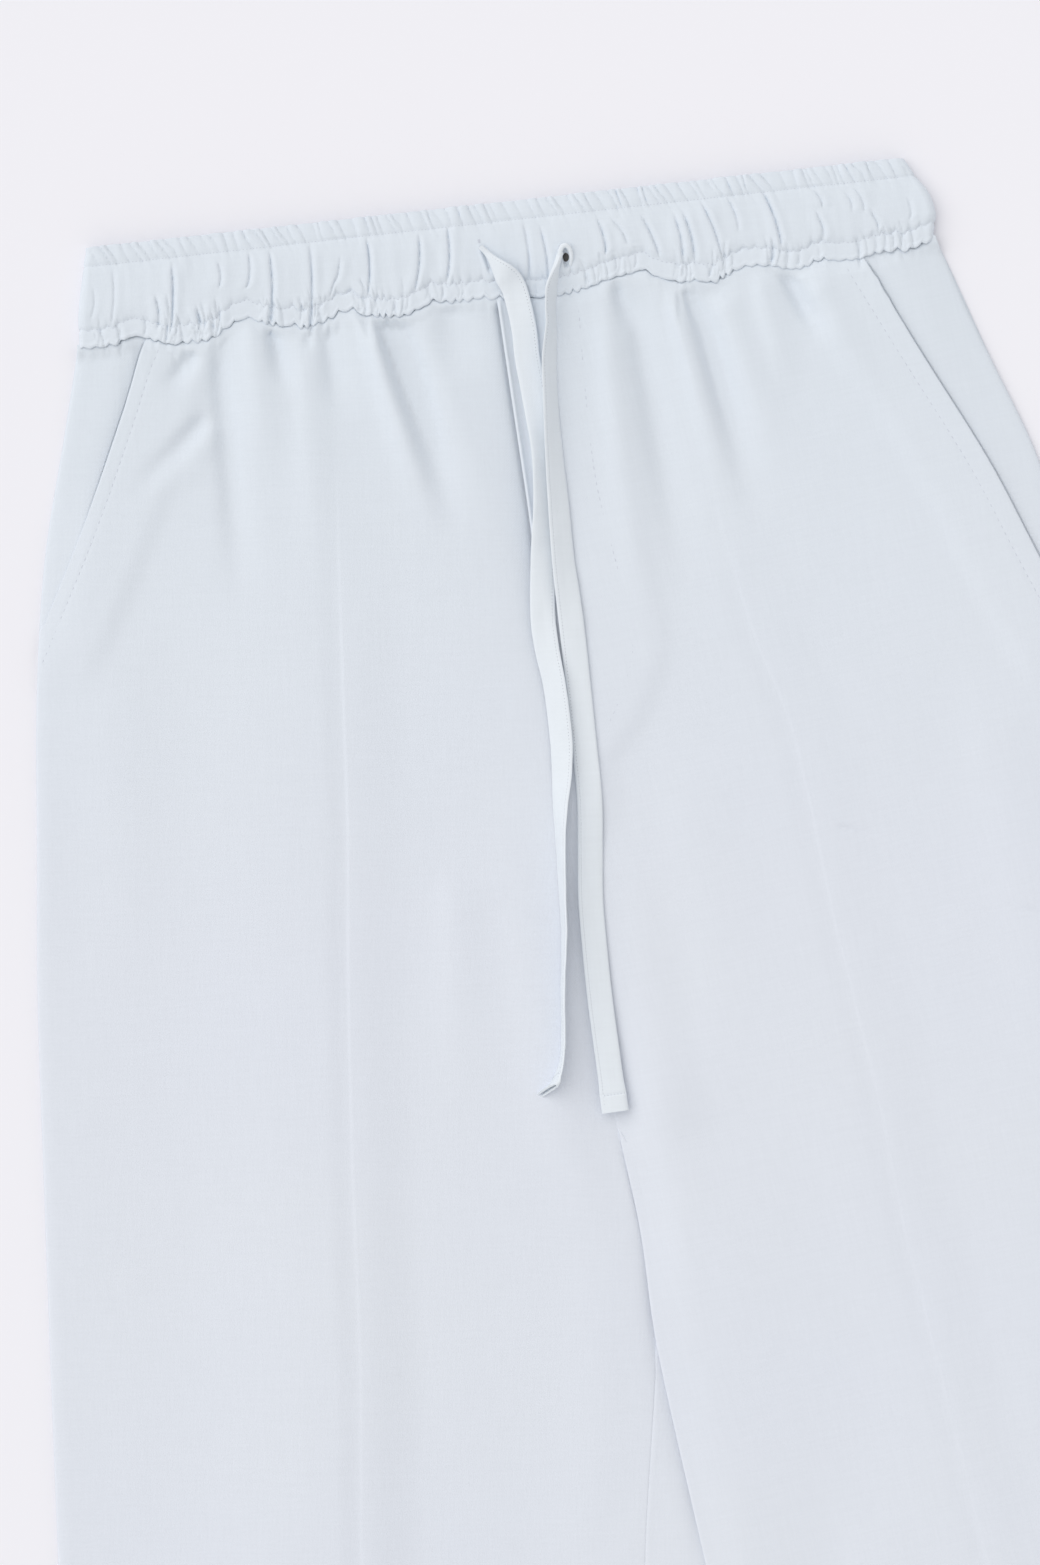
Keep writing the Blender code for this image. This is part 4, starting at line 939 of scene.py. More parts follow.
def front_top(leg, x, down):
    """Height of a front's top face, its edges turned down."""
    top = front_base(leg, x, down) + pocket_lift(leg, x, down) + WALL
    top += HEM_THICKER * smoothstep(HEM_STITCH - HEM_STEP, HEM_STITCH, down)
    inner = np.abs(x - front_inner(leg, down))
    outer = np.abs(front_outer(leg, down) - x)
    top += left_relief(x, inner, down) if leg is LEFT_LEG else right_relief(x, inner, down)
    closed = pocket_closed(leg, down)
    opening = (1.0 - closed) * turned_down(FOLD_TURN, outer)
    top -= np.where(down < leg["pocket_end"], opening, turned_down(SIDE_TURN, outer))
    past = down - leg["pocket_end"]
    top -= closed * (1.0 - smoothstep(*POCKET_CLOSE_END, past)) * fading(POCKET_CLOSE, outer)
    stitched = leg["side"] * (pocket_edge(leg, down) - x) - leg["pocket_stitch"]
    top -= ridge(POCKET_STITCH_GROOVE, stitched) * (past < POCKET_STITCH_PAST)
    return tucked(x, down, np.maximum(top, 2.0 * (SHELL + SHELL_CLEAR)))


def band_x(fraction, height):
    """Place across the band at a fraction of its flat width."""
    reach = BAND_INSIDE_GAP / 2 + BAND_BACK_WALL
    left = along_table(BAND_SIDES, height, 1) + reach
    right = along_table(BAND_SIDES, height, 2) - reach
    return left + (right - left) * fraction


def pucker_folds():
    """Small folds across the strip, in the groups of the table."""
    dice = np.random.default_rng(31)
    folds = []
    for middle, half_width, count in PUCKERS:
        for _ in range(count):
            x = middle + half_width * dice.uniform(-1.0, 1.0)
            lean = dice.uniform(-PUCKER_LEAN, PUCKER_LEAN)
            top = dice.uniform(*PUCKER_TOP)
            folds.append((x + lean, top, x - lean, dice.uniform(*PUCKER_FOOT), dice.uniform(*PUCKER_DEPTH)))
    return folds


def band_fold_height(folds, x, height):
    """Sum of the band's folds: a sharp line with a soft ridge on its right."""
    total = np.zeros_like(x)
    share, offset, width, left_share = BAND_RIDGE
    for top_x, top, foot_x, foot, depth in folds:
        t = (height - foot) / (top - foot)
        middle = foot_x + (top_x - foot_x) * t + BAND_FOLD_BEND * np.sin(np.pi * np.clip(t, 0.0, 1.0))
        across = x - middle
        groove = np.exp(-np.abs(across) / np.where(across < 0.0, *BAND_FOLD_SIDES))
        beside = share * (bell(across - offset, width) + left_share * bell(across + offset, width))
        total += BAND_FOLD_DEPTH * depth * window(BAND_FOLD_RUN, t) * (beside - groove)
    return total


def ruffle_wave(x, height):
    """Wave of the ruffled heading: round ridges between sharp valleys, from 0 to 1."""
    dice = np.random.default_rng(41)
    widths = dice.uniform(*RUFFLE_WIDTHS, RUFFLES)
    starts = np.concatenate([[0.0], np.cumsum(widths)]) / widths.sum()
    sizes = dice.uniform(*RUFFLE_SIZES, RUFFLES)
    leans = RUFFLE_LEAN * dice.uniform(*RUFFLE_LEANS, RUFFLES + 1)
    left, right = (along_table(BAND_SIDES, BAND_HEIGHT, column) for column in (1, 2))
    place = (x - left) / (right - left)
    place = place + np.interp(place, starts, leans) * (height - HEADING_STITCH) / (right - left)
    index = np.clip(np.searchsorted(starts, place) - 1, 0, RUFFLES - 1)
    phase = (place - starts[index]) / (starts[index + 1] - starts[index])
    return sizes[index] * np.abs(np.sin(np.pi * np.clip(phase, 0.0, 1.0))) ** RUFFLE_SHARPNESS


def stitch_lines(form, height):
    """The two lines of stitches along the band, as grooves."""
    return ridge(form, height - STRIP_STITCH) + ridge(form, height - HEADING_STITCH)


def band_relief(x, height):
    """Relief of the band's front over its plain wall."""
    folds = band_fold_height(BAND_FOLDS, x, height) + band_fold_height(pucker_folds(), x, height)
    heading = smoothstep(HEADING_START, BAND_HEIGHT, height)
    wave = ruffle_wave(x, height)
    total = folds * (1.0 - smoothstep(*BAND_FOLD_END, height))
    grown = RUFFLE_FOOT + (1.0 - RUFFLE_FOOT) * heading
    total += RUFFLE_HEIGHT * (wave - RUFFLE_MIDDLE) * grown * (height > HEADING_START)
    total += (wave - 0.5) * ridge(RUFFLE_PULL, height - HEADING_STITCH)
    total -= (STITCH_PULL[0] + uneven(STITCH_PULL, x, 1.5, 35)) * stitch_lines(STITCH_GROOVE, height)
    for lump, across, upwards, seed in BAND_LUMPS:
        total += lump * soft_noise(x / across, height / upwards + 5.0, seed)
    total += ridge(BAND_LIP, height - BAND_LIP[1])
    for top_x, top, foot_x, foot, width, depth in BUTTONHOLES:
        t = (height - foot) / (top - foot)
        inside = window(BUTTONHOLE_RUN, t)
        across = x - foot_x - (top_x - foot_x) * t
        floor = window((0.0, BUTTONHOLE_EDGE, BUTTONHOLE_CLIMB * width, width), across)
        total += inside * (ridge(BUTTONHOLE_LIP, across + BUTTONHOLE_LIP_OUTSIDE) - depth * floor)
    return total


def band_front_height(x, height):
    """Height of the band's front face above the ground."""
    plain = BAND_BACK_WALL + BAND_INSIDE_GAP + along_table(BAND_SECTION, height, 1)
    return plain + band_relief(x, height)


def add_object(name, data):
    """A new object of the scene."""
    item = bpy.data.objects.new(name, data)
    bpy.context.scene.collection.objects.link(item)
    return item


def add_mesh(name, points, faces, material, sharp=50.0):
    """A mesh object from arrays of points and faces, shaded smooth."""
    mesh = bpy.data.meshes.new(name)
    mesh.from_pydata(np.asarray(points).tolist(), [], [tuple(face) for face in faces])
    mesh.validate()
    mesh.shade_smooth()
    mesh.set_sharp_from_angle(angle=math.radians(sharp))
    mesh.materials.append(material)
    return add_object(name, mesh)


def new_material(name, finish):
    """A material with its node tree and shader, and with the finish on the shader's own sockets."""
    material = bpy.data.materials.new(name)
    material.use_nodes = True
    shader = material.node_tree.nodes["Principled BSDF"]
    for socket, value in finish.items():
        shader.inputs[socket].default_value = value
    return material, material.node_tree, shader


def add_node(tree, kind, inputs=None, **settings):
    """Outputs of a new node, once it has its settings and each input its value or link."""
    node = tree.nodes.new("ShaderNode" + kind)
    for setting, value in settings.items():
        setattr(node, setting, value)
    for socket, value in (inputs or {}).items():
        if isinstance(value, bpy.types.NodeSocket):
            tree.links.new(value, node.inputs[socket])
        else:
            node.inputs[socket].default_value = value
    return node.outputs


def calculate(tree, operation, *values):
    """Output of a Math node fed by sockets or numbers."""
    return add_node(tree, "Math", dict(enumerate(values)), operation=operation)[0]


def mix(tree, factor, first, second, kind="RGBA", blend="MIX"):
    """Output of a Mix node fed by sockets, numbers or colours."""
    inputs = {"Factor": factor, "A": first, "B": second}
    return add_node(tree, "Mix", inputs, data_type=kind, blend_type=blend)["Result"]


def settle(piece, node=None):
    """A finished piece of the garment and the solid that it stands for."""
    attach(piece, "root")
    if node:
        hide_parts(node)
    return piece


def unit(vectors):
    """Vectors of length 1."""
    return vectors / np.maximum(np.linalg.norm(vectors, axis=-1, keepdims=True), 1e-12)


def grid_faces(rows, columns):
    """Faces of a grid of points stored row by row."""
    corner = np.arange((rows - 1) * columns).reshape(rows - 1, columns)[:, :-1].ravel()
    return np.stack([corner, corner + columns, corner + columns + 1, corner + 1], axis=1)


def ring_faces(rows, columns):
    """Faces between rings of points stored one after another."""
    faces = []
    for low in range(0, (rows - 1) * columns, columns):
        for corner in range(columns):
            after = (corner + 1) % columns
            faces.append((low + corner, low + after, low + columns + after, low + columns + corner))
    return faces


def add_shell(name, points, faces, thickness, material):
    """A thin cloth shell: the points are its top face, and its edges are rounded."""
    corners = points[faces]
    across = np.cross(corners[:, 2] - corners[:, 0], corners[:, 3] - corners[:, 1])
    normals = np.zeros_like(points)
    for k in range(4):
        np.add.at(normals, faces[:, k], across)
    normals = unit(normals)
    edges = np.concatenate([faces[:, [k, (k + 1) % 4]] for k in range(4)])
    count = len(points)
    keys = edges[:, 0] * count + edges[:, 1]
    mirrored = edges[:, 1] * count + edges[:, 0]
    rim = edges[~np.isin(keys, mirrored)]
    outward = np.zeros_like(points)
    for end in (0, 1):
        side = np.cross(points[rim[:, 1]] - points[rim[:, 0]], normals[rim[:, end]])
        np.add.at(outward, rim[:, end], side)
    on_rim = np.unique(rim)
    middle = points[on_rim] + unit(outward[on_rim]) * thickness * SHELL_BULGE
    upper, lower = (middle - normals[on_rim] * thickness * share for share in SHELL_EDGE)
    number = np.full(count, -1)
    number[on_rim] = 2 * count + np.arange(len(on_rim))
    a, b = rim[:, 0], rim[:, 1]
    lines = [(a, b), (number[a], number[b])]
    lines += [(number[a] + len(on_rim), number[b] + len(on_rim)), (a + count, b + count)]
    sides = [
        np.stack([high_b, high_a, low_a, low_b], axis=1)
        for (high_a, high_b), (low_a, low_b) in zip(lines, lines[1:])
    ]
    everything = np.concatenate([points, points - normals * thickness, upper, lower])
    return add_mesh(name, everything, np.concatenate([faces, faces[:, ::-1] + count, *sides]), material, 70.0)


def add_panel(node, points, material, thickness=SHELL, flipped=False, kept=None):
    """A panel's shell on a grid of points, in the place of its solid."""
    faces = grid_faces(*points.shape[:2])
    if flipped:
        faces = faces[:, ::-1]
    if kept is not None:
        faces = faces[kept]
    shell = add_shell(node + "_cloth", points.reshape(-1, 3), faces, thickness, material)
    return settle(shell, node)


def across_panel(start, *parts):
    """Places across a panel in each of its rows: a part gives its far edge and its spread from 0 to 1."""
    stretches = []
    for edge, spread in parts:
        stretches.append(start + (edge - start) * spread[None, :])
        start = edge
    return np.concatenate([*(stretch[:, :-1] for stretch in stretches[:-1]), stretches[-1]], axis=1)


def run_lengths(path):
    """Distances of a path's points from its start, along it."""
    return np.concatenate([[0.0], np.cumsum(np.linalg.norm(np.diff(path, axis=0), axis=1))])


def resampled(path, step):
    """Points a step apart along a line of points."""
    lengths = run_lengths(path)
    places = np.arange(0.0, lengths[-1], step)
    return np.stack([np.interp(places, lengths, path[:, k]) for k in range(3)], axis=1)


def stitch_run(path, length, gap, up=(0.0, 0.0, 1.0), radius=STITCH_RADIUS):
    """Points and faces of a row of stitches that lie along a path and dip into the cloth."""
    part = length / STITCH_PARTS
    fine = resampled(path, part)
    step = max(round((length + gap) / part), STITCH_PARTS + 1)
    starts = np.arange(0, len(fine) - STITCH_PARTS, step)
    if len(starts) == 0:
        return np.zeros((0, 3)), np.zeros((0, 4), dtype=int)
    stations = np.stack([fine[starts + k] for k in (0, 2, 6, STITCH_PARTS)], axis=1)
    up = np.broadcast_to(np.asarray(up, dtype=float), stations[:, 0].shape)
    side = unit(np.cross(unit(stations[:, 3] - stations[:, 0]), up))
    points = []
    end = (STITCH_END, STITCH_DIP)
    for k, (size, dip) in enumerate((end, (1.0, 0.0), (1.0, 0.0), end)):
        for corner in range(STITCH_SIDES):
            angle = 2.0 * math.pi * corner / STITCH_SIDES
            offset = side * math.cos(angle) + up * math.sin(angle)
            points.append(stations[:, k] + offset * radius * size - up * dip)
    faces = np.array(ring_faces(4, STITCH_SIDES))
    every = faces[None, :, :] + 4 * STITCH_SIDES * np.arange(len(starts))[:, None, None]
    return np.stack(points, axis=1).reshape(-1, 3), every.reshape(-1, 4)


def add_stitches(name, runs, material):
    """All stitches of one piece as one object."""
    firsts = np.cumsum([0] + [len(points) for points, _ in runs])
    points = np.concatenate([points for points, _ in runs])
    faces = np.concatenate([faces + first for (_, faces), first in zip(runs, firsts)])
    return settle(add_mesh("stitches_" + name, points, faces, material))


def add_camera():
    """The photograph's camera: straight down from a distance."""
    data = bpy.data.cameras.new("photo_camera")
    data.sensor_fit = "VERTICAL"
    data.sensor_height = SENSOR
    data.sensor_width = SENSOR * PICTURE[0] / PICTURE[1]
    data.lens = SENSOR * CAMERA_DISTANCE / PICTURE_HEIGHT
    camera = add_object("photo_camera", data)
    camera.location = (*PICTURE_CENTRE, CAMERA_DISTANCE)
    camera.rotation_euler = (0.0, 0.0, PICTURE_TURN)
    bpy.context.scene.camera = camera


def add_lights():
    """A white studio, a little brighter round its walls, and a soft light from the upper left."""
    scene = bpy.context.scene
    scene.world = bpy.data.worlds.new("studio")
    scene.world.use_nodes = True
    tree = scene.world.node_tree
    background = tree.nodes["Background"]
    background.inputs["Color"].default_value = (1.0, 1.0, 1.0, 1.0)
    direction = add_node(tree, "SeparateXYZ", {"Vector": add_node(tree, "TexCoord")["Generated"]})
    low = calculate(tree, "SUBTRACT", 1.0, calculate(tree, "ABSOLUTE", direction["Z"]))
    walls = calculate(tree, "MULTIPLY", calculate(tree, "POWER", low, 2.0), WALL_LIGHT)
    tree.links.new(calculate(tree, "ADD", walls, CEILING_LIGHT), background.inputs["Strength"])
    data = bpy.data.lights.new("key", "SUN")
    data.energy = KEY_LIGHT
    data.angle = KEY_SOFTNESS
    add_object("key", data).rotation_euler = (KEY_TILT, 0.0, KEY_SIDE)
    scene.view_settings.view_transform = "Standard"
    scene.view_settings.look = "None"


def add_floor():
    """A plain pale floor."""
    material, _, _ = new_material("pale_floor", FLOOR_FINISH)
    corners = [(FLOOR_SIZE * x, FLOOR_SIZE * y, 0.0) for x, y in ((-1, -1), (1, -1), (1, 1), (-1, 1))]
    floor = add_mesh("floor", corners, [(0, 1, 2, 3)], material)
    floor.location = (0.0, 0.0, FLOOR_HEIGHT)


def make_cotton(name, colours, turn, bump=1.0):
    """Plain-woven cotton: crossing threads, slubs, and a faint drift of colour."""
    material, tree, shader = new_material(name, COTTON_FINISH)
    place = add_node(tree, "TexCoord")["Object"]
    grain = add_node(tree, "Mapping", {"Vector": place, "Rotation": (0.0, 0.0, turn)})["Vector"]
    along = add_node(tree, "SeparateXYZ", {"Vector": grain})
    threads = []
    for axis in ("X", "Y"):
        angle = calculate(tree, "MULTIPLY", along[axis], math.pi / THREAD_PITCH)
        threads.append(calculate(tree, "ABSOLUTE", calculate(tree, "SINE", angle)))
    checker = add_node(tree, "TexChecker", {"Vector": grain, "Scale": 1.0 / THREAD_PITCH})["Fac"]
    weave = mix(tree, checker, *threads, kind="FLOAT")
    slubs = []
    for scale in SLUB_SCALES:
        stretched = add_node(tree, "Mapping", {"Vector": grain, "Scale": scale})["Vector"]
        slubs.append(add_node(tree, "TexNoise", {"Vector": stretched, "Scale": 1.0, "Detail": 2.0})["Fac"])
    slub = calculate(tree, "ADD", *slubs)
    height = calculate(tree, "ADD", weave, calculate(tree, "MULTIPLY", slub, SLUB_HEIGHT))
    relief = {"Height": height, "Strength": WEAVE_BUMP * bump, "Distance": WEAVE_DEPTH}
    tree.links.new(add_node(tree, "Bump", relief)["Normal"], shader.inputs["Normal"])
    drift = add_node(tree, "TexNoise", {"Vector": place, "Scale": PATCH_SCALE, "Detail": 2.0})["Fac"]
    tint = mix(tree, drift, colours["cool"], colours["warm"])
    up = add_node(tree, "SeparateXYZ", {"Vector": place})["Y"]
    start, end = WAIST_COLOUR_FROM
    near_waist = add_node(tree, "MapRange", {"Value": up, "From Min": start, "From Max": end})["Result"]
    colour = mix(tree, near_waist, tint, colours["waist"])
    grey = add_node(tree, "MapRange", {"Value": slub, **SLUB_SHADE})["Result"]
    tree.links.new(mix(tree, WEAVE_SHADE, colour, grey, blend="MULTIPLY"), shader.inputs["Base Color"])
    return material


def make_thread(name, colour):
    """Sewing thread: the cloth's colour, a little darker, with a fine twist."""
    material, tree, shader = new_material(name, THREAD_FINISH)
    place = add_node(tree, "TexCoord")["Object"]
    twist = add_node(tree, "TexNoise", {"Vector": place, "Scale": TWIST_SCALE})["Fac"]
    darker = [THREAD_SHADE * part for part in colour]
    tree.links.new(mix(tree, twist, (*darker, 1.0), (*colour, 1.0)), shader.inputs["Base Color"])
    return material


def tie_stations(route):
    """Centres, rolls and distances along a tie, on the model's curve, closer together at its end."""
    rows = np.array(route)
    lengths = run_lengths(rows[:, :3])
    table = np.column_stack([lengths, rows])
    fine = lengths[-1] - TIE_FINE
    places = steps_between(((0.0, TIE_STEP), (fine, TIE_STEP / 5), (lengths[-1], TIE_STEP)))
    x, down, z, roll = (along_table(table, places, column) for column in (1, 2, 3, 4))
    return garment_points(x, down, z), np.radians(roll), places


def directions(centres):
    """Directions along a path, level across it and through both."""
    along = unit(np.gradient(centres, axis=0))
    side = unit(np.cross(along, (0.0, 0.0, 1.0)))
    return along, side, np.cross(side, along)


def tie_frame(route):
    """Centres of a tie with the directions along, across and through it, and the distances."""
    centres, rolls, places = tie_stations(route)
    along, side, up = directions(centres)
    turn = rolls[:, None]
    across = side * np.cos(turn) + up * np.sin(turn)
    through = up * np.cos(turn) - side * np.sin(turn)
    return centres, along, across, through, places


def tie_surface(route, form, u, face):
    """Points of a tie's face at a place across it, u from -1 to 1; face is 1 on top, -1 below."""
    start, (thicker, run, slant, hem_groove), stitched_edge, seed = form
    centres, along, across, through, places = tie_frame(route)
    length = places[-1]
    opened = smoothstep(0.0, TIE_PINCH[1], places)
    pinched = 1.0 - opened
    half_width = (TIE_PINCH[0] + (TIE_WIDTH - TIE_PINCH[0]) * opened) / 2
    shift = np.stack([-start[0] * pinched, np.zeros_like(pinched), start[1] * pinched], axis=-1)
    wider, wider_from, wider_to = TIE_END_WIDER
    half_width = half_width * (1.0 + wider * smoothstep(length - wider_from, length - wider_to, places))
    thick = TIE_THICKNESS / 2 * (1.0 + TIE_PINCH_THICKER * pinched)
    hem_start = length - (TIE_HEM if hem_groove else run)
    thick = thick * (1.0 + (thicker - 1.0) * smoothstep(hem_start, hem_start + run, places))
    thick = thick * (1.0 - hem_groove * bell(places - hem_start, TIE_HEM_WIDTH))
    edge = np.sqrt(np.clip(1.0 - abs(u) ** TIE_FLATNESS, 0.0, 1.0))
    groove = 1.0 - ridge(TIE_STITCH_GROOVE, u - stitched_edge * TIE_STITCH_U)
    cup = (u * u - TIE_CUP_MIDDLE) * uneven(TIE_CUP, places, seed + 0.5, 51)
    offset = face * thick * edge * groove + cup + uneven(TIE_WOBBLE, places, u * 1.5 + seed + 9.0, 52)
    ahead = slant * u * smoothstep(length - TIE_SLANT_LENGTH, length, places)
    points = centres + shift + across * (half_width * u)[:, None] + through * offset[:, None]
    return points + along * ahead[:, None]


def add_tube(name, rings, material):
    """A closed tube through rings of points."""
    rows, columns = rings.shape[:2]
    ends = [tuple(range(columns))[::-1], tuple(range((rows - 1) * columns, rows * columns))]
    return add_mesh(name, rings.reshape(-1, 3), ring_faces(rows, columns) + ends, material, 60.0)


def tie_rings(route, form):
    """Rings of points round a tie, with its sunk start and its hollow end."""
    _, along, _, through, _ = tie_frame(route)
    faces_across = np.sin(np.linspace(-0.5, 0.5, TIE_FACE_POINTS) * np.pi)
    section = [tie_surface(route, form, u, 1.0) for u in faces_across]
    section += [tie_surface(route, form, u, -1.0) for u in faces_across[-2:0:-1]]
    rings = np.stack(section, axis=1)
    start = rings[0] - along[0] * TIE_START_INSIDE
    wide, thick, deep = TIE_END_INSIDE
    middle = rings[-1].mean(axis=0)
    height = ((rings[-1] - middle) @ through[-1])[:, None] * through[-1]
    inside = middle + (rings[-1] - middle - height) * wide + thick * height
    return np.concatenate([start[None], rings, inside[None], (inside - along[-1] * deep)[None]])


def tie_stitches(route, form):
    """Stitches along a tie's edge and across its hem, on both faces."""
    _, _, _, through, places = tie_frame(route)
    at_hem = np.searchsorted(places, places[-1] - TIE_HEM)
    runs = []
    for face in (1.0, -1.0):
        line = tie_surface(route, form, form[2] * TIE_STITCH_U, face)
        for first in range(4, len(line) - TIE_RUN, TIE_RUN):
            up = through[first + TIE_RUN // 2] * face
            runs.append(stitch_run(line[first:first + TIE_RUN + 1], *TIE_STITCH, up, TIE_STITCH_RADIUS))
        across = np.linspace(-TIE_HEM_STITCHED, TIE_HEM_STITCHED, 12)
        hem = np.array([tie_surface(route, form, u, face)[at_hem] for u in across])
        runs.append(stitch_run(hem, *TIE_STITCH, through[-1] * face, TIE_STITCH_RADIUS))
    return runs


def make_tie(node, route, form, hook, cloth, thread):
    """A tie of doubled cloth, pinched where it leaves its buttonhole, with its edge stitched."""
    name = node + "_tie"
    tie = settle(add_tube(name, tie_rings(route, form), cloth), node)
    with_pieces = [add_stitches(name, tie_stitches(route, form), thread)]
    if hook:
        with_pieces.append(make_hook(name + "_hook", hook, cloth))
    path = tie_stations(route)[0]


def make_hook(name, rows, cloth):
    """A rolled bit of the tie that turns back into its buttonhole."""
    table = np.column_stack([np.arange(len(rows)), np.array(rows)])
    place = np.linspace(0.0, len(rows) - 1.0, 40)
    x, down, z, radius = (along_table(table, place, column) for column in (1, 2, 3, 4))
    centres = garment_points(x, down, z)
    _, side, up = directions(centres)
    angles = np.linspace(0.0, 2.0 * np.pi, 14, endpoint=False)[None, :, None]
    squash = 1.0 - TIE_HOOK_SQUASH + TIE_HOOK_SQUASH * np.abs(np.cos(angles))
    round_it = side[:, None] * np.cos(angles) + TIE_HOOK_HIGHER * up[:, None] * np.sin(angles)
    rings = centres[:, None] + radius[:, None, None] * squash * round_it
    return settle(add_tube(name, rings, cloth))


def line_on_front(leg, x, down):
    """Points of a line on a front's top face."""
    return garment_points(x, down + row_shift(leg, x, down), front_top(leg, x, down))


def make_front(name, leg, material):
    """A front's shell, from under the waistband to its hem."""
    down = steps_between(FRONT_ROWS)[:, None]
    crease = leg_at(leg, down, "crease")
    x = across_panel(front_inner(leg, down), (crease, crowded(72)), (front_outer(leg, down), crowded(84)))
    points = line_on_front(leg, x, np.broadcast_to(down, x.shape))
    return add_panel(name, points, material, flipped=leg["side"] < 0)


def make_pocket_piece(name, leg, material):
    """The side piece of a pocket, flat under the front's opening."""
    side = leg["side"]
    end = leg["pocket_end"] + POCKET_PIECE_PAST
    down = steps_between(((-TUCK_REACH, 0.0010), (0.0300, 0.0030), (end, 0.0030)))[:, None]
    opening = pocket_edge(leg, down)
    outer = leg_at(leg, down, "outer")
    beside = opening + np.clip(outer - opening, -POCKET_TRENCH_REACH, POCKET_TRENCH_REACH)
    x = across_panel(
        opening - side * POCKET_PIECE_UNDER,
        (opening, np.linspace(0.0, 1.0, 9)),
        (beside, np.linspace(0.0, 1.0, 13)),
        (outer, np.linspace(0.0, 1.0, 30)),
    )
    down = np.broadcast_to(down, x.shape)
    outside = side * (x - opening)
    sink = leg["pocket_sink"] * POCKET_SINK[0] * (1.0 - np.clip(outside / POCKET_SINK[1], 0.0, 1.0))
    sink += POCKET_TRENCH_DEPTH * window(POCKET_TRENCH, outside)
    top = front_base(leg, x, down) + WALL - (1.0 - pocket_closed(leg, down)) * sink
    top -= turned_down(SIDE_TURN, np.abs(outer - x))
    points = garment_points(x, down + row_shift(leg, x, down), tucked(x, down, top, SHELL))
    return add_panel(name, points, material, flipped=side < 0)


def make_fly_facing(material):
    """The facing under the fly."""
    down = steps_between(((0.0010, 0.0040), (FLY_DOWN, 0.0040)))[:, None]
    x = across_panel(centre_line(down) + SEAM_GAP, (fly_edge(down), np.linspace(0.0, 1.0, 16)))
    down = np.broadcast_to(down, x.shape)
    thickness = SHELL - SHELL_CLEAR
    top = front_base(LEFT_LEG, x, down) + thickness
    points = garment_points(x, down + row_shift(LEFT_LEG, x, down), top)
    return add_panel("fly_facing", points, material, thickness)


def back_lift(leg, x, down):
    """Shallow hollows of a back's underside, which otherwise rests on the ground."""
    depth, size, length = BACK_HOLLOW
    hollow = depth + depth * soft_noise(x / size + 7.0, down / length + 7.0, 61)
    gather = fading(BACK_GATHER, down) * (BACK_GATHER_UNEVEN[0] + uneven(BACK_GATHER_UNEVEN, x, 2.5, 62))
    crease = x - leg_at(leg, down, "crease")
    pressed = 1.0 - bell(crease, BACK_CREASE_WIDTH) * smoothstep(*BACK_CREASE_START, down)
    side = smoothstep(0.0, BACK_SIDE, np.abs(leg_at(leg, down, "outer") - x))
    return (hollow * pressed + gather) * side


def back_down(leg, x, down):
    """How far down a back's point lies."""
    rise = back_seam_rise(x) * (1.0 - smoothstep(0.0, BACK_SEAM_FADE, np.maximum(down, 0.0)))
    return down - rise + hem_shift(leg, x, down)


def make_back_left(material):
    """The wearer's left back, lifted where it crosses the other leg."""
    down = steps_between(BACK_ROWS)[:, None]
    inner = leg_at(LEFT_LEG, down, "fold") + SEAM_GAP / 2 + BACK_INSIDE_CLEAR * (down > CROTCH_DOWN)
    crease, outer = (leg_at(LEFT_LEG, down, line) for line in ("crease", "outer"))
    x = across_panel(inner, (crease, crowded(34)), (outer, crowded(38)))
    down = np.broadcast_to(down, x.shape)
    low = back_lift(LEFT_LEG, x, down) + crossing_rise(x, down) * edge_lift(x, down, LEG_STEPS_BACK)
    return add_panel("back_left", garment_points(x, back_down(LEFT_LEG, x, down), low + SHELL), material)


def wrap_height(x, down, start, end, wraps, level):
    """Height of the right back where it lies on itself, from its inner fold to the inseam."""
    distance = np.abs(x - end)
    height, size, length = WRAP_RIPPLE
    ripple = height * soft_noise(x / size, down / length, 63) * smoothstep(0.0, WRAP_RIPPLE_INSIDE, distance)
    z = SHELL + wraps * (level - SHELL) + wraps * (ripple - turned_down(WRAP_TURN, distance))
    soft = front_base(RIGHT_LEG, np.broadcast_to(end, x.shape), down) - LAYER
    z = z + wraps * (soft * np.exp(-distance / WRAP_FOLLOW) - inseam_valley(distance, down))
    z = z - leg_dip(x, down) * smoothstep(0.0, LEG_DIP[2], np.abs(x - start))
    return z + wraps * (np.maximum(z, 2.0 * (SHELL + SHELL_CLEAR)) - z)


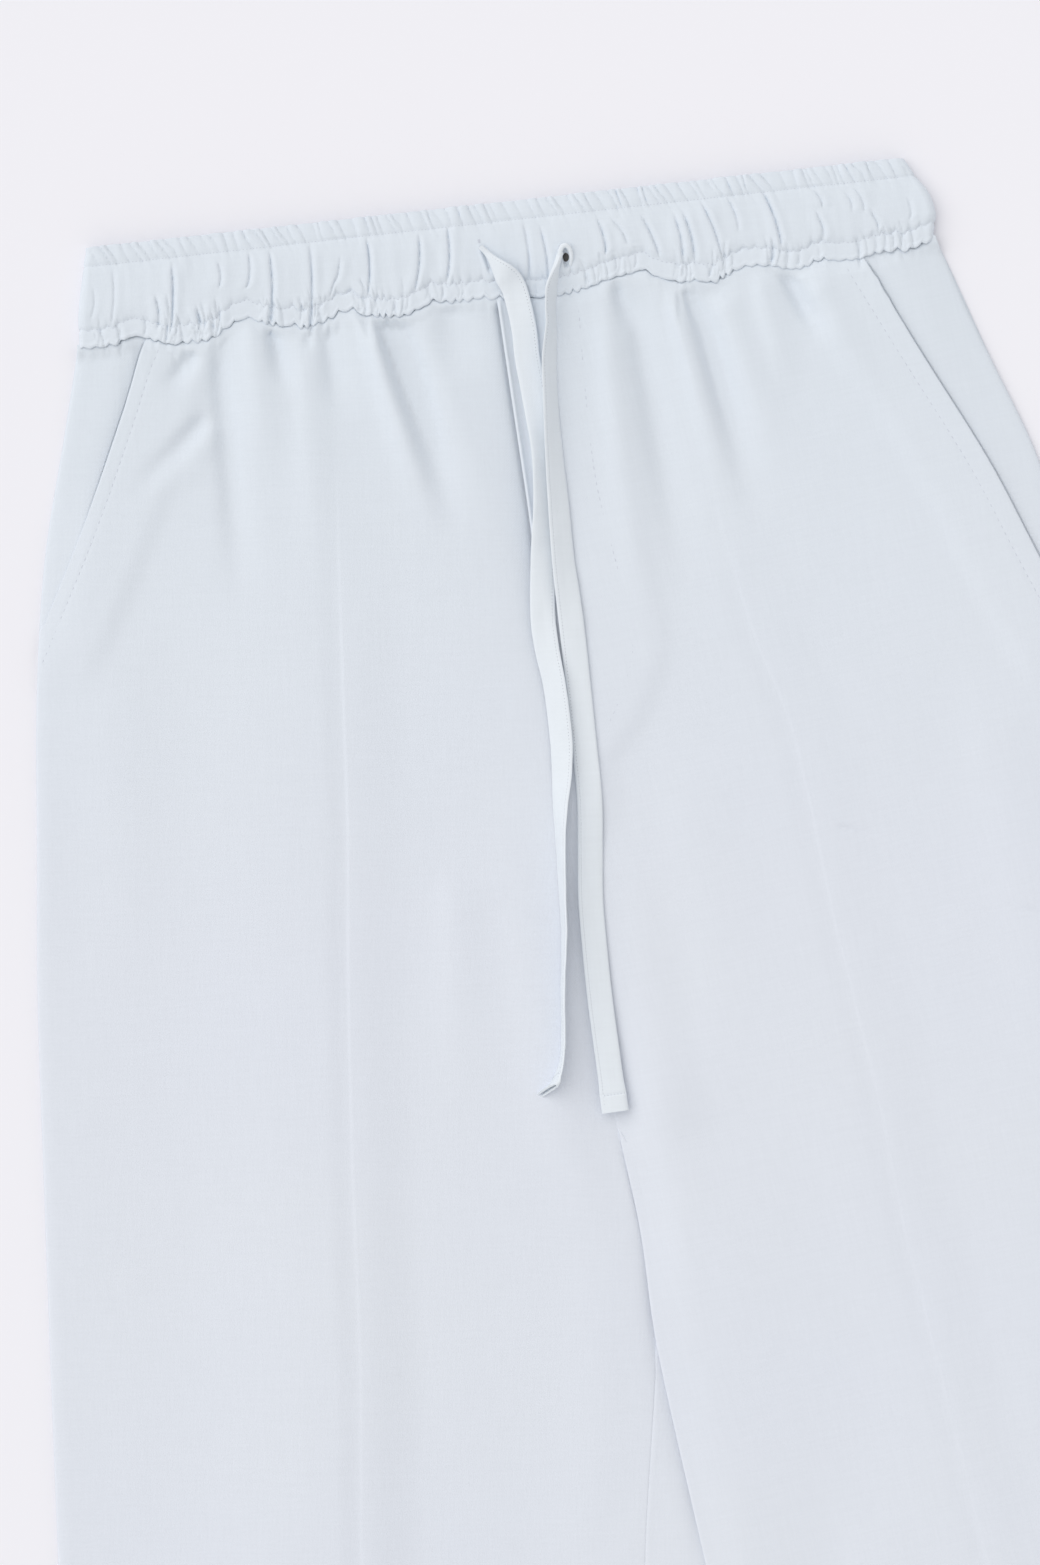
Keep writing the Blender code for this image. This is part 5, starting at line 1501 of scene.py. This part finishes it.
def make_back_right(material):
    """The wearer's right back: flat below, then round its inner fold and back to the inseam."""
    down = steps_between(BACK_ROWS)[:, None]
    wraps = smoothstep(CROTCH_DOWN, CROTCH_DOWN + WRAP_START, down)
    outer, crease, fold, inseam = (
        leg_at(RIGHT_LEG, down, line) for line in ("outer", "crease", "fold", "inseam")
    )
    turn = (LAYER + WALL - SHELL) / 2
    start = fold - SEAM_GAP / 2 - (turn + SHELL / 2) * wraps
    flat_x = across_panel(outer, (crease, crowded(38)), (start, crowded(34)))
    flat_z = back_lift(RIGHT_LEG, flat_x, np.broadcast_to(down, flat_x.shape)) + SHELL
    angles = np.linspace(0.0, np.pi, 9)[None, 1:]
    turn_x = start + wraps * (turn - SHELL / 2) * np.sin(angles)
    turn_z = SHELL + wraps * (turn - SHELL / 2) * (1.0 - np.cos(angles))
    end = inseam + SEAM_GAP / 2
    wrap_x = start + wraps * (end - start) * np.linspace(0.0, 1.0, 22)[None, 1:]
    wrap_z = wrap_height(wrap_x, np.broadcast_to(down, wrap_x.shape), start, end, wraps, 2.0 * turn)
    x = np.concatenate([flat_x, turn_x, wrap_x], axis=1)
    z = np.concatenate([flat_z, turn_z, wrap_z], axis=1)
    points = garment_points(x, back_down(RIGHT_LEG, x, np.broadcast_to(down, x.shape)), z)
    corner = grid_faces(*x.shape)[:, 0]
    kept = (corner % x.shape[1] < flat_x.shape[1] - 1) | (wraps[corner // x.shape[1], 0] > 0.0)
    return add_panel("back_right", points, material, kept=kept)


def band_follow(height):
    """How much of the seam's waves the band's rows follow at a height."""
    return 1.0 - smoothstep(*BAND_SEAM_FOLLOW, height)


def band_loop():
    """Stations round the flattened loop: fraction across, turn angle and how much is front."""
    front = np.linspace(0.0, 1.0, BAND_FRONT_COLUMNS)
    share = np.linspace(0.0, 1.0, BAND_END_COLUMNS + 1)[1:-1]
    back = np.linspace(1.0, 0.0, BAND_BACK_COLUMNS)
    fraction = np.concatenate([front, np.ones_like(share), back, np.zeros_like(share)])
    angle = np.pi * np.concatenate([np.zeros_like(front), share, np.ones_like(back), 1.0 - share])
    front_share = 1.0 - angle / np.pi
    return fraction, angle, front_share


def band_points(height, inside, rim=0.0):
    """Points round the loop at one height; inside is how far in from the outer face, as a share."""
    fraction, angle, front_share = band_loop()
    level = np.full_like(fraction, height)
    x = band_x(fraction, level)
    wall, thick = (along_table(BAND_SECTION, level, column) for column in (1, 2))
    front = BAND_INSIDE_GAP / 2 + wall + band_relief(x, level)
    wave = ruffle_wave(x + BACK_RUFFLE_SHIFT, level) if height > BAND_FOLD_END[0] else 0.0
    gather = BACK_CHANNEL_UNEVEN[0] + uneven(BACK_CHANNEL_UNEVEN, x, 0.5, 71)
    heading = smoothstep(HEADING_STITCH, BAND_HEIGHT, level)
    hollow = BACK_CHANNEL_HOLLOW * gather * window(BAND_CHANNEL, level) + BACK_RUFFLE_HOLLOW * wave * heading
    hollow = hollow + stitch_lines(BACK_STITCH_HOLLOW, level)
    back = BAND_INSIDE_GAP / 2 + BAND_BACK_WALL - hollow
    outer = back + (front - back) * front_share
    inner = np.maximum(outer - thick, BAND_INSIDE_GAP / 2)
    reach = outer + (inner - outer) * inside
    sign = np.where(fraction > 0.5, 1.0, -1.0)
    x = x + np.where((angle > 0.0) & (angle < np.pi), sign * reach * np.sin(angle), 0.0)
    z = BAND_INSIDE_GAP / 2 + BAND_BACK_WALL + reach * np.cos(angle)
    seam = seam_rise(x) * front_share + back_seam_rise(x) * (1.0 - front_share)
    scallop = RUFFLE_SCALLOP * (RUFFLE_SCALLOP_MIDDLE - ruffle_wave(x, level)) * heading
    return garment_points(x, -height - seam * band_follow(level) + scallop - rim, z)


def make_waistband(material):
    """The waistband: ruffled heading, gathered channel and stitched strip, all round."""
    rings = [band_points(0.0, inside, -BAND_RIM_LOW) for inside in (0.75, 0.25)]
    rings += [band_points(height, 0.0) for height in steps_between(BAND_ROWS)]
    rings += [band_points(BAND_HEIGHT, inside, BAND_RIM_HIGH) for inside in (0.25, 0.75)]
    rings += [band_points(height, 1.0) for height in np.linspace(BAND_HEIGHT, 0.0, 9)]
    points = np.stack([*rings, rings[0]])
    faces = np.array(ring_faces(*points.shape[:2])) % (len(rings) * points.shape[1])
    band = add_mesh("waistband_cloth", points[:-1].reshape(-1, 3), faces, material, 80.0)
    return settle(band, "waistband")


def band_line(height, left, right):
    """Points of a line along the band's front at one height."""
    x = np.linspace(left, right, 900)
    level = np.full_like(x, height)
    return garment_points(x, -level - seam_rise(x) * band_follow(level), band_front_height(x, level))


def make_buttonhole_painted_shade():
    """Painted shade: a dark patch laid on the band in the left tie's buttonhole, standing for the channel's
    inside in shade.
    """
    x, height, half_width, half_height = BUTTONHOLE_PAINTED_SHADE
    angles = np.linspace(0.0, 2.0 * np.pi, 24, endpoint=False)
    x = x + half_width * np.cos(angles)
    height = height + half_height * np.sin(angles)
    points = garment_points(x, -height, band_front_height(x, height) + BUTTONHOLE_PAINTED_SHADE_CLEAR)
    material, _, _ = new_material("painted_buttonhole_shade", PAINTED_SHADE_FINISH)
    return settle(add_mesh("buttonhole_painted_shade", points, [tuple(range(len(points)))], material))


def buttonhole_runs():
    """The bar of stitches across the top of each buttonhole."""
    runs = []
    for top_x, top, *_ in BUTTONHOLES:
        for k in range(4):
            x = top_x + np.linspace(-0.5, 0.5, 9) * BUTTONHOLE_BAR
            height = np.full_like(x, top + BUTTONHOLE_BAR_UP[0] + BUTTONHOLE_BAR_UP[1] * k)
            runs.append(stitch_run(garment_points(x, -height, band_front_height(x, height)), *BAR_STITCH))
    return runs


def front_stitches(leg):
    """Stitches of a front: beside the pocket, along the hem and, on the left, round the fly."""
    down = np.linspace(STITCHES_START, leg["pocket_end"] + POCKET_STITCH_PAST, 200)
    x = pocket_edge(leg, down) - leg["side"] * leg["pocket_stitch"]
    inside = leg["side"] * (leg_at(leg, down, "outer") - x) > STITCHES_INSIDE
    runs = [stitch_run(line_on_front(leg, x[inside], down[inside]), *FRONT_STITCH)]
    share = np.linspace(*HEM_STITCHED, 400)
    level = np.full_like(share, HEM_STITCH)
    inner = front_inner(leg, level)
    x = inner + (leg_at(leg, level, "outer") - inner) * share
    runs.append(stitch_run(line_on_front(leg, x, level), *HEM_STITCHES))
    if leg is LEFT_LEG:
        down = np.linspace(STITCHES_START, FLY_DOWN - STITCHES_SHORT, 300)
        runs.append(stitch_run(line_on_front(leg, fly_edge(down), down), *FRONT_STITCH))
    return runs


def make_sewing(thread):
    """Rows of stitches on the fronts and the waistband, by piece."""
    band_runs = [stitch_run(band_line(*line), stitch, gap) for *line, stitch, gap in BAND_STITCHES]
    runs = {
        "front_right": front_stitches(RIGHT_LEG),
        "front_left": front_stitches(LEFT_LEG),
        "waistband": band_runs + buttonhole_runs(),
    }
    return {name: [add_stitches(name, runs[name], thread)] for name in runs}


def main():
    """Builds the whole scene."""
    add_camera()
    add_lights()
    add_floor()
    cloth = make_cotton("pale_cotton", CLOTH_COLOURS, 0.0)
    right_cloth = make_cotton("pale_cotton_right", CLOTH_COLOURS, math.radians(4.5))
    left_cloth = make_cotton("pale_cotton_left", CLOTH_COLOURS, math.radians(-7.0))
    tie_cloth = make_cotton("tie_cotton", dict.fromkeys(CLOTH_COLOURS, TIE_COLOUR), math.radians(3.0), 0.7)
    thread = make_thread("pale_thread", THREAD_COLOUR)
    tie_thread = make_thread("tie_thread", TIE_THREAD_COLOUR)
    make_tie("drawstring_right", DRAWSTRING_RIGHT, TIE_FORM_RIGHT, None, tie_cloth, tie_thread)
    make_tie("drawstring_left", DRAWSTRING_LEFT, TIE_FORM_LEFT, TIE_HOOK, tie_cloth, tie_thread)
    pieces = {
        "waistband": make_waistband(cloth),
        "front_right": make_front("front_right", RIGHT_LEG, right_cloth),
        "front_left": make_front("front_left", LEFT_LEG, left_cloth),
        "back_right": make_back_right(right_cloth),
        "back_left": make_back_left(left_cloth),
        "pocket_side_right": make_pocket_piece("pocket_side_right", RIGHT_LEG, right_cloth),
        "pocket_side_left": make_pocket_piece("pocket_side_left", LEFT_LEG, left_cloth),
        "fly_facing": make_fly_facing(left_cloth),
    }
    sewing = make_sewing(thread)
    # The painted shade in the left tie's buttonhole, kept with the band's stitches
    sewing["waistband"].append(make_buttonhole_painted_shade())


main()
